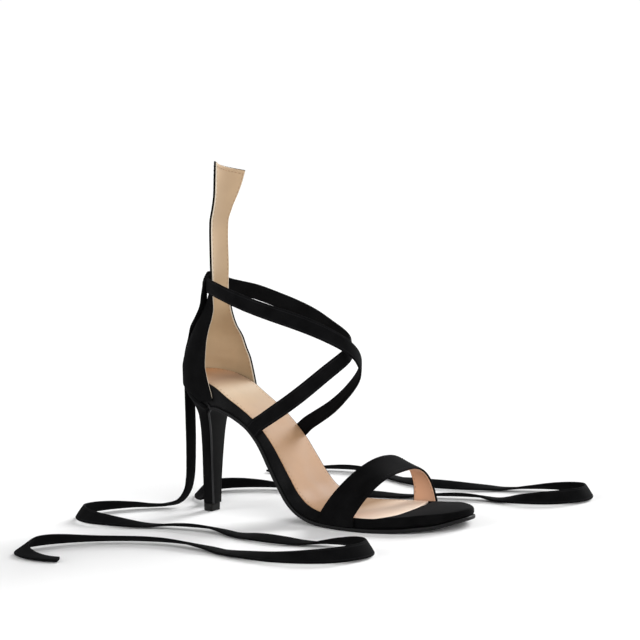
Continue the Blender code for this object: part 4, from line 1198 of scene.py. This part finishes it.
def layer_ring(x, low, high, inset, soft, crown=0.0, pinch=0.0, rim=False):
    """Ring of one sole layer with rounded edges; pinch rounds it at an end.

    low and high give offsets at a place. rim raises a lip round the insole.
    """
    bow = bow_share(x)
    lateral, medial = edge(x, inset)
    half = max((medial - lateral) / 2, LEAST_SIZE)
    r = min(soft, half * MOST_SOFT)
    lip = toe_lip(x) if rim else 0.0

    def point(y, level, offset):
        share = y / half
        place = x - bow * insole_pull(share)
        sides = edge(place, inset)
        wide = max((sides[1] - sides[0]) / 2, LEAST_SIZE)
        return layer_point(place, level(place) + offset, sum(sides) / 2 + wide * share)

    rise = pinch * 0.5
    tall = min(r, max(high(x) - low(x) - pinch - rise, LEAST_SIZE) * MOST_SOFT)
    arc = radians(15, 30, 45, 60, 75)
    flat = half - r

    def corner(a, hand, level):
        turn = tall * (1 - math.cos(a))
        offset = rise + turn if level is low else lip - pinch - turn
        return point(hand * (flat + r * math.sin(a)), level, offset)

    inner = [(flat - RIM_FOOT) * (2 * k / 20 - 1) for k in range(21)]
    top = [-flat, -flat + RIM_LIP] + inner + [flat - RIM_LIP, flat]
    ring = [point(y, low, rise) for y in top]
    ring += [corner(a, 1, low) for a in arc] + [corner(a, 1, high) for a in reversed(arc)]
    for k, y in enumerate(reversed(top)):
        dome = crown * (1.0 - (y / half) ** 2)
        on_rim = k < 2 or k > len(top) - 3
        ring.append(point(y, high, dome - pinch + (lip if on_rim else 0.0)))
    ring += [corner(a, -1, high) for a in arc] + [corner(a, -1, low) for a in reversed(arc)]
    return ring


def toe_lip(x):
    """Height of the covered rim round the insole, over the board under it."""
    return (INSOLE_THICKNESS + GAP - RIM_DROP) * (1.0 - toe_rise(x))


def fine_stations(back, front, count, soft, ends=(True, True)):
    """Places from back to front with close ones in the rounding of each end."""
    places = [back + (front - back) * k / count for k in range(count + 1)]
    for here, inward, wanted in ((back, 1.0, ends[0]), (front, -1.0, ends[1])):
        if not wanted:
            continue
        for share in (0.01, 0.05, 0.13, 0.26, 0.42, 0.62, 0.82, 1.0, 1.6, 2.6, 4.0, 5.8, 8.0):
            places.append(here + inward * soft * share)
        places.remove(here)
    return sorted(places)


def pinch_at(x, back, front, soft, ends=(True, True)):
    """How far a layer's top falls at x inside the rounding of an end."""
    gaps = [d for d, wanted in zip((x - back, front - x), ends) if wanted]
    gap = min(gaps + [soft])
    if gap >= soft:
        return 0.0
    return soft - math.sqrt(max(0.0, soft ** 2 - (soft - gap) ** 2))


def make_outsole():
    """Sole unit with a ribbed tread under its softened edges."""
    front = SHOE_LENGTH + OUTSOLE_MARGIN
    soft = 0.0007
    ends = (False, True)
    rows = []
    for x in fine_stations(OUTSOLE_BACK, front, 130, soft, ends):
        pinch = pinch_at(x, OUTSOLE_BACK, front, soft, ends)
        rows.append(layer_ring(x, outsole_low, outsole_high, -OUTSOLE_MARGIN, soft, pinch=pinch))
    tube_piece(rows, "outsole_unit", [RUBBER, TREAD], "outsole_rubber", "outsole",
               lambda c: 1 if c < RING_FLAT else 0)


def make_board():
    """Suede-covered board: bare rim round the insole and a domed toe ahead of it."""
    soft = 0.0008
    front = INSOLE_FRONT * SHOE_LENGTH + GAP
    bend = [front + TOE_RISE_LENGTH * k / 8 for k in range(-1, 10)]
    toe = [SHOE_LENGTH - TOE_SOFT * (k / 12) ** 2 for k in range(2, 13)]
    places = sorted(fine_stations(SEAT_WALL, SHOE_LENGTH, 150, soft) + BOARD_STEP + bend + toe)
    low = column([(x, board_low(x)) for x in places], 1)
    rows = []
    for x in places:
        rise = toe_rise(x)
        top = -(INSOLE_THICKNESS + GAP) * (1.0 - rise)
        pinch = pinch_at(x, SEAT_WALL, SHOE_LENGTH, soft, (True, False))
        pinch += TOE_FALL * pinch_at(x, SEAT_WALL, SHOE_LENGTH, TOE_SOFT, (False, True))
        round_off = soft + (TOE_SOFT - soft) * rise
        rows.append(layer_ring(x, low, lambda _: top, 0.0, round_off,
                               TOE_CROWN * rise, pinch, True))
    tube_piece(rows, "board_cover", [BOARD_SUEDE], "black_suede", "footbed_board")


def sock_point(x, share, offset):
    """Point of the insole at a share across the ring of station x."""
    place = x - bow_share(x) * insole_pull(share)
    lateral, medial = edge(place, INSOLE_INSET)
    half = (medial - lateral) / 2
    return layer_point(place, offset, (lateral + medial) / 2 + half * share)


def make_insole():
    """Insole with its sewn edge let into the board's rim."""
    back = SEAT_WALL + INSOLE_INSET
    front = INSOLE_FRONT * SHOE_LENGTH
    soft = 0.0005
    across = 28
    rows = []
    for x in fine_stations(back, front, 130, soft):
        pinch = pinch_at(x, back, front, soft)
        half = (edge(x, INSOLE_INSET)[1] - edge(x, INSOLE_INSET)[0]) / 2
        r = min(soft, half * 0.4)
        shares = [2 * k / across - 1 for k in range(across + 1)]
        turn = radians(30, 60, 90)
        side = [(1 - r / half * (1 - math.sin(a)), -r * (1 - math.cos(a))) for a in turn]
        profile = [(s * (1 - r / half), 0.0) for s in shares] + side
        profile += [(s, -INSOLE_THICKNESS) for s in reversed(shares)]
        profile += [(-s, o) for s, o in reversed(side)]
        ring = []
        for share, offset in profile:
            fall = pinch * (1.0 if offset > -INSOLE_THICKNESS else 0.0)
            dip = half * (1 - abs(share)) - SOCK_MARGIN
            dip = SOCK_DIP * math.exp(-(dip / SOCK_DIP_WIDTH) ** 2)
            offset = max(offset - fall, -INSOLE_THICKNESS)
            ring.append(sock_point(x, share, offset - (dip if offset > -soft else 0.0)))
        rows.append(ring)
    tube_piece(rows, "insole_sock", [SOCK], "tan_lining", "insole")
    thread = Collector()
    start = back + SOCK_MARGIN
    for side in (0, 1):
        path = []
        facing = []
        for k in range(161):
            x = start + (SOCK_STITCH_END * SHOE_LENGTH - start) * (k / 160) ** 1.4
            path.append(layer_point(x, -SOCK_DIP, edge(x, INSOLE_INSET + SOCK_MARGIN)[side]))
            facing.append(footbed_normal(x))
        stitch_row(thread, path, facing, 0.00008)
    thread.build("insole_stitching", [TAN_THREAD], "tan_lining")


# Heel


def top_level(place):
    """Height at which a column of the heel meets the sole; place gives x at a height."""
    def below_sole(height):
        x, z = place(height)
        return z < UNDERSIDE(x) - GAP

    return crossing(TIP_HEIGHT, HEEL_HEIGHT * HEEL_TOP, below_sole, 36)


def heel_outline(height):
    """Closed ring round the heel at a height: arc behind, chord at the breast."""
    front, depth, half, tilt = heel_section(height)
    corner = 0.0005
    bevel = 0.00015
    ring = []
    for k in range(49):
        angle = math.pi * (k / 48 - 0.5)
        x = front - corner - (depth - corner) * math.cos(angle)
        ring.append((x, half * math.sin(angle)))
    ring.append((front - bevel, half - bevel))
    ring += [(front, (half - corner) * (1 - k / 6)) for k in range(13)]
    ring.append((front - bevel, bevel - half))
    return [(x, y, height + tilt * (front - x)) for x, y in ring]


def make_heel():
    """Suede-covered heel, each column drawn up to the sole."""
    low = TIP_HEIGHT + GAP
    count = len(heel_outline(low))
    tops = [top_level(lambda h, i=i: heel_outline(h)[i][::2]) for i in range(count)]
    levels = 84
    rows = []
    for k in range(levels + 1):
        share = k / levels
        share *= 1.6 - 0.6 * share      # closer rows in the cup
        row = []
        for i in range(count):
            height = low + (tops[i] - low) * share
            x, y, z = heel_outline(height)[i]
            tuck = HEEL_TUCK * smooth_step(tops[i] - HEEL_TUCK_LENGTH, tops[i], height)
            reach = math.hypot(x - HEEL_AXIS, y)
            row.append(Vector((x - tuck * (x - HEEL_AXIS) / reach, y - tuck * y / reach, z)))
        rows.append(row)
    tube_piece(rows, "heel_cover", [SUEDE], "black_suede", "heel", sharp=42.0)


def make_breast():
    """Smooth facing on the heel's flat front, with a rolled bead round its edge."""
    low = TIP_HEIGHT + GAP
    columns = [-1.0, -0.97, -0.93, -0.87, -0.78] + [k / 10 for k in range(-6, 7)]
    columns += [0.78, 0.87, 0.93, 0.97, 1.0]

    def wide(height):
        return min(heel_section(height)[2] - BREAST_SIDE, BREAST_HALF)

    def front(height):
        return heel_section(height)[0] + GAP

    tops = []
    for s in columns:
        bend = max(0.0, (abs(s) - BREAST_SHOULDER) / (1 - BREAST_SHOULDER))
        drop = BREAST_DROP * (1 - math.sqrt(max(0.0, 1 - bend ** 2)))
        tops.append(top_level(lambda h: (front(h) + BREAST_AHEAD, h)) - drop)
    levels = 70
    outer = []
    inner = []
    for k in range(levels + 1):
        share = k / levels
        outer_row = []
        inner_row = []
        for s, top in zip(columns, tops):
            height = low + (top - low) * share
            half = wide(height)
            to_edge = min(half * (1 - abs(s)), top - height)
            near = clamp(to_edge / BEAD_WIDTH, 0.0, 1.0)
            bead = BEAD_RISE * math.sin(math.pi * near) if near < 1.0 else 0.0
            bead -= BEAD_FALL * (1 - smooth_step(0.0, BEAD_FALL_END, near))
            bow = BREAST_BOW * (1 - s * s)
            x = front(height) + BREAST_LAYER + bow + bead
            outer_row.append(Vector((x, half * s, height)))
            inner_row.append(Vector((front(height) - BREAST_SINK, half * s, height)))
        outer.append(outer_row)
        inner.append(inner_row)
    piece = Collector()

    # the bead's edge columns and the side walls take the paler black, a painted highlight
    def slot(c):
        return 1 if c < 3 or c >= len(columns) - 4 else 0

    piece.grid(outer, slot)
    piece.grid(inner, 0)
    for rows in ([outer[0], inner[0]], [outer[-1], inner[-1]]):
        piece.grid(rows, 0)
    for column_at in (0, -1):
        piece.grid([[r[column_at] for r in outer], [r[column_at] for r in inner]], 1)
    piece.build("breast_facing", [BREAST, BEAD_PAINTED_HIGHLIGHT], "smooth_black", ["heel_breast"])


TIP_PROFILE = [
    # height, inset
    (0.0, 0.0004), (0.0001, 0.0002), (0.0004, 0.0), (0.0020, 0.0),
    (0.0047, 0.0), (0.0049, 0.0001), (TIP_HEIGHT, 0.0002),
]


def make_tip():
    """Top piece with a softened lower rim."""
    middle = TIP_FRONT - TIP_DEPTH / 2
    rows = []
    for height, inset in TIP_PROFILE:
        row = []
        for x, y, _ in heel_outline(height):
            away = Vector((x - middle, y, 0.0))
            away -= away.normalized() * inset
            row.append(Vector((middle + away.x, away.y, height)))
        rows.append(row)
    tube_piece(rows, "heel_top_piece", [TIP], "tip_rubber", "heel_tip", sharp=40.0)


# Counter and toe strap


LAYER_GAP = 0.00002         # between a cover and its lining
FACING_STEP = 0.0002        # through the wall, to read the way that a face looks
COUNTER_STITCHED = (0.06, 0.985)    # shares of the counter's height that its side seams run over
VAMP_STITCHED = (0.07, 0.93)        # shares of the toe strap's breadth, the same


def clothe(name, node, shell, inset, tan, across, along):
    """Suede cover that stands for the node, and a tan lining inset from its edges."""
    cover = Collector()
    layer_panel(cover, shell, 0.0, SUEDE_LAYER, 0.0, across, along, (0, 0, 0))
    cover.build(name + "_cover", [SUEDE], "black_suede", [node])
    inside = Collector()
    layer_panel(inside, shell, SUEDE_LAYER + LAYER_GAP, shell.wall, inset, across, along,
                (0, 1, 0))
    inside.build(name + "_lining", [tan, CUT_EDGE], "tan_lining")


def sew(name, shell, paths, count):
    """The same stitch rows on a shell's outer and inner face."""
    for part, depth, lift, material, slot_name in (
            ("_stitching", 0.0, -FACING_STEP, BLACK_THREAD, "black_suede"),
            ("_lining_stitching", shell.wall, FACING_STEP, TAN_THREAD, "tan_lining")):
        thread = Collector()
        for corners in paths:
            stitch_row(thread, *shell_path(shell, depth, lift, corners, count))
        thread.build(name + part, [material], slot_name)


def make_counter():
    """Counter and tab: one wall, round the heel and up the back."""
    outer = []
    inner = []
    for r in range(141):
        level = COUNTER_TOP * r / 140
        points = [counter_outer(level, k / 40, -1) for k in range(40, 0, -1)]
        points += [counter_outer(level, k / 40, 1) for k in range(41)]
        insides = []
        for k, point in enumerate(points):
            run = points[min(k + 1, 80)] - points[max(k - 1, 0)]
            run = Vector((run.x, run.y, 0.0)).normalized()
            insides.append(point + Vector((run.y, -run.x, 0.0)) * COUNTER_WALL)
        outer.append(points)
        inner.append(insides)
    shell = Shell(outer, inner, COUNTER_WALL)
    clothe("counter", "counter", shell, LINING_INSET, TAN, 72, 110)
    start, end = COUNTER_STITCHED
    levels = [start + (end - start) * k / 28 for k in range(29)]
    corners = [(STITCH_MARGIN / shell.row_length(v), v) for v in levels]
    sew("counter", shell, [corners + [(1 - u, v) for u, v in reversed(corners)]], 8)


def make_vamp():
    """Toe strap, from one side of the board over the toes to the other."""
    outer = []
    inner = []
    for offset, grid in ((VAMP_WALL / 2, outer), (-VAMP_WALL / 2, inner)):
        for r in range(41):
            v = r / 40
            row = [vamp_foot(0, v, offset, 1.0 - k / 8) for k in range(8)]
            for i in range(121):
                u = (1 - math.cos(math.pi * i / 120)) / 2 * 0.5 + i / 120 * 0.5
                row.append(vamp_point(u, v, offset))
            row += [vamp_foot(1, v, offset, (k + 1) / 8) for k in range(8)]
            grid.append(row)
    shell = Shell(outer, inner, VAMP_WALL)
    clothe("toe_strap", "vamp_strap", shell, VAMP_LINING_INSET, STRAP_TAN, 150, 26)
    start, end = VAMP_STITCHED
    places = [start + (end - start) * k / 40 for k in range(41)]
    rear = [(u, STITCH_MARGIN / shell.step_length(u, 0.5)) for u in places]
    sew("toe_strap", shell, [rear, [(u, 1 - v) for u, v in rear]], 6)


# Ties


def even_route(route, count, easing=0):
    """Even centres and smoothed facings along a route of (point, face)."""
    centres, _ = smooth_path([p for p, _ in route], count)
    centres = relaxed(centres, round(easing * ((count - 1) / (TIE_POINTS - 1)) ** 2))
    faces = np.array([tuple(face_near(route, point)) for point in centres])
    for _ in range(10):
        faces[1:-1] = (faces[:-2] + faces[1:-1] * 2 + faces[2:]) / 4
    return centres, [Vector(f).normalized() for f in faces]


def band_section():
    """Section of a tie: rolled edges and a sewn groove beside each, from -1 to 1."""
    half = TIE_WIDTH / 2
    thick = TIE_THICKNESS / 2
    flat = half - thick
    shares = [k / 14 for k in range(-14, 15)]
    top = []
    for s in shares:
        y = flat * s
        groove = math.exp(-((half - abs(y) - TIE_GROOVE) / TIE_GROOVE_WIDTH) ** 2)
        top.append((y, thick - TIE_GROOVE_DEPTH * groove - TIE_SWELL * s * s))
    turn = radians(60, 30, 0, -30, -60)
    right = [(flat + thick * math.cos(a), (thick - TIE_SWELL) * math.sin(a)) for a in turn]
    bottom = [(y, -b) for y, b in reversed(top)]
    left = [(-y, -b) for y, b in right]
    return top + right + bottom + left


def band(piece, centres, faces, slants=(0.0, 0.0), cup=0.0):
    """Flat band along centres, cut at the slants at its ends; gives its two end rows.

    A slant of 1 cuts at 45 degrees. cup curls the start's edges back, as over a round tab.
    """
    section = band_section()
    lengths = run_lengths(centres)
    rows = []
    axes = []
    for i, point in enumerate(centres):
        along = centres[min(i + 1, len(centres) - 1)] - centres[max(i - 1, 0)]
        along.normalize()
        face = (faces[i] - along * faces[i].dot(along)).normalized()
        across = along.cross(face)
        slant = slants[0] * (1 - smooth_step(0.0, SLANT_FADE, lengths[i]))
        slant += slants[1] * (1 - smooth_step(0.0, SLANT_FADE, lengths[-1] - lengths[i]))
        curl = cup * (1 - smooth_step(0.0, CUP_FADE, lengths[i]))
        row = []
        for a, b in section:
            row.append(point + across * a + face * (b - curl * a * a) + along * a * slant)
        rows.append(row)
        axes.append((point, across, face, along, slant, curl))
    back = range(len(section) // 2 + 2, len(section) - 6)
    seam = TIE_WIDTH / 2 - TIE_GROOVE
    # the columns at the grooves take the paler suede, a painted highlight
    highlight_columns = [c for c in range(28) for s in (seam, -seam)
             if section[c][0] <= s < section[c + 1][0]]
    piece.tube(rows, lambda c: 1 if c in back else 2 if c in highlight_columns else 0)
    return axes[0], axes[-1]


def tie_route(table, back_table, side, base_share, lift_back):
    """Route of a worn tie: up the board's side, over the instep and behind the tab."""
    route = []
    step = TIE_THICKNESS * TIE_STEP
    for point in tie_base(side, base_share * SHOE_LENGTH):
        route.append((point, Vector((0.0, 2.0 * side - 1.0, 0.0))))
    for along, across, height, tilt, lift in table:
        point = Vector((along * SHOE_LENGTH, across * ANKLE_WIDTH / 2, height * TIE_BACK_HEIGHT))
        forward = (point.x - ANKLE_AT * SHOE_LENGTH) / ANKLE_OVAL
        outward = Vector((forward, point.y, 0.0)).normalized()
        face = (outward + Vector((0.0, 0.0, tilt))).normalized()
        route.append((point + face * lift * step, face))
    for across, height in back_table:
        clear = GAP + TIE_THICKNESS / 2 + lift_back * step + TAB_CLEARANCE
        route.append(tab_back(across, height * TIE_BACK_HEIGHT, clear))
    return route


def end_edge(axes, reach):
    """Middle line of a band's slanted end, from its upper to its lower corner."""
    point, across, face, along, slant, curl = axes
    line = []
    for k in range(FOLD_STEPS + 1):
        a = reach * (2 * k / FOLD_STEPS - 1)
        line.append(point + across * a + along * a * slant - face * curl * a * a)
    return line if line[0].z > line[-1].z else line[::-1]


def fold_over(piece, under, over):
    """Bent edge that turns a tie's slanted end down into its hanging end."""
    half = TIE_THICKNESS / 2 - FOLD_INNER
    reach = TIE_WIDTH / 2 - half
    low = end_edge(under, reach)
    high = end_edge(over, reach)
    outward = (under[3] - over[3]).normalized()
    turns = radians(-90, -60, -30, 0, 30, 60, 90)
    rows = []
    for a, b in zip(low, high):
        apart = b - a
        gap = apart.length / 2
        normal = apart.normalized()
        middle = (a + b) / 2
        row = []
        for radius, angles in ((gap + half, turns), (max(gap - half, FOLD_INNER), turns[::-1])):
            for t in angles:
                bulge = outward * math.cos(t) * min(radius, 1.5 * half)
                row.append(middle + normal * math.sin(t) * radius + bulge)
        rows.append(row)
    piece.tube(rows)


def make_ties():
    """Both worn ties and their loose ends, which fold down behind the tab."""
    for name, table, back, tail, side, base_share, lift_back, nodes in (
            ("lateral_tie", LATERAL_TIE, LATERAL_TIE_BACK, LATERAL_TAIL, 0, LATERAL_TIE_BASE, 1.0,
             ["instep_straps", "tie_tail_lateral"]),
            ("medial_tie", MEDIAL_TIE, MEDIAL_TIE_BACK, MEDIAL_TAIL, 1, MEDIAL_TIE_BASE, 0.0,
             ["tie_tail_medial"])):
        hand = 1 - 2 * side
        worn = tie_route(table, back[:-1], side, base_share, lift_back)
        centres, faces = even_route(worn, WORN_ROWS, TIE_EASING)
        piece = Collector()
        _, under = band(piece, centres, faces, slants=(0.0, hand))
        points, facings = tail_route(tail)
        centres, faces = even_route(list(zip(points, facings)), LOOSE_ROWS)
        fold_height = under[0].z
        first = next(i for i, p in enumerate(centres) if p.z < fold_height)
        centres = centres[first:]
        faces = faces[first:]
        seat = under[0] + under[2] * (TIE_THICKNESS + FOLD_GAP)
        for i, point in enumerate(centres):
            pull = 1 - smooth_step(0.0, CUP_FADE, fold_height - point.z)
            centres[i] = point + faces[i] * (seat - point).dot(faces[i]) * pull
        loose = Collector()
        over, _ = band(loose, centres, faces, slants=(-hand, TAIL_CUT), cup=TAB_CUP)
        fold_over(loose, under, over)
        layers = [TIE_SUEDE, TIE_BACK, TIE_SEAM_HIGHLIGHT]
        piece.build(name, layers, "tie_suede", nodes[:-1])
        made = loose.build(name + "_end", layers, "tie_suede", nodes[-1:])
        path = [placed(p) for p in centres]
        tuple(path[0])


# Stage


def make_camera():
    a = math.radians(CAMERA_AZIMUTH)
    e = math.radians(CAMERA_ELEVATION)
    r = math.radians(CAMERA_ROLL)
    back = Vector((math.sin(a) * math.cos(e), -math.cos(a) * math.cos(e), math.sin(e)))
    right = Vector((math.cos(a), math.sin(a), 0.0))
    up = back.cross(right)
    across = right * math.cos(r) - up * math.sin(r)
    upright = right * math.sin(r) + up * math.cos(r)
    data = bpy.data.cameras.new("camera")
    data.lens = CAMERA_LENS
    data.sensor_width = SENSOR_WIDTH
    data.clip_start = 0.05
    data.clip_end = 100.0
    camera = add_object("camera", data)
    turn = Matrix((across, upright, back)).transposed().to_4x4()
    camera.matrix_world = Matrix.Translation(Vector(CAMERA_TARGET) + back * CAMERA_DISTANCE) @ turn
    bpy.context.scene.camera = camera


def make_floor():
    mesh = bpy.data.meshes.new("floor")
    h = FLOOR_HALF
    z = -FLOOR_DROP
    mesh.from_pydata([(-h, -h, z), (h, -h, z), (h, h, z), (-h, h, z)], [], [(0, 1, 2, 3)])
    floor = add_object("floor", mesh)
    mesh.materials.append(node_material("pale_floor", (0.96, 0.96, 0.96), 0.85, 0.05))


def make_lighting():
    """White studio: bright all round at eye level, dimmer overhead, with wide suns."""
    world = bpy.data.worlds.new("studio")
    world.use_nodes = True
    tree = world.node_tree
    height = axis_value(tree, "Generated", "Z")
    strength = mapped(tree, height, WORLD_FADE, (WORLD_LEVEL, WORLD_OVERHEAD))
    background = tree.nodes["Background"]
    tree.links.new(strength, background.inputs["Strength"])
    background.inputs["Color"].default_value = (1.0, 1.0, 1.0, 1.0)
    bpy.context.scene.world = world
    for name, toward, energy, angle in SUNS:
        sun = bpy.data.lights.new(name, "SUN")
        sun.energy = energy
        sun.angle = math.radians(angle)
        lamp = add_object(name, sun)
        lamp.rotation_mode = "QUATERNION"
        lamp.rotation_quaternion = Vector(toward).to_track_quat("Z", "Y")
    bpy.context.scene.view_settings.view_transform = "Standard"


UNDERSIDE = column([(k * 0.001, underside_height(k * 0.001)) for k in range(60)], 1)

make_camera()
make_ties()
make_outsole()
make_board()
make_insole()
make_heel()
make_breast()
make_tip()
make_counter()
make_vamp()
make_floor()
make_lighting()
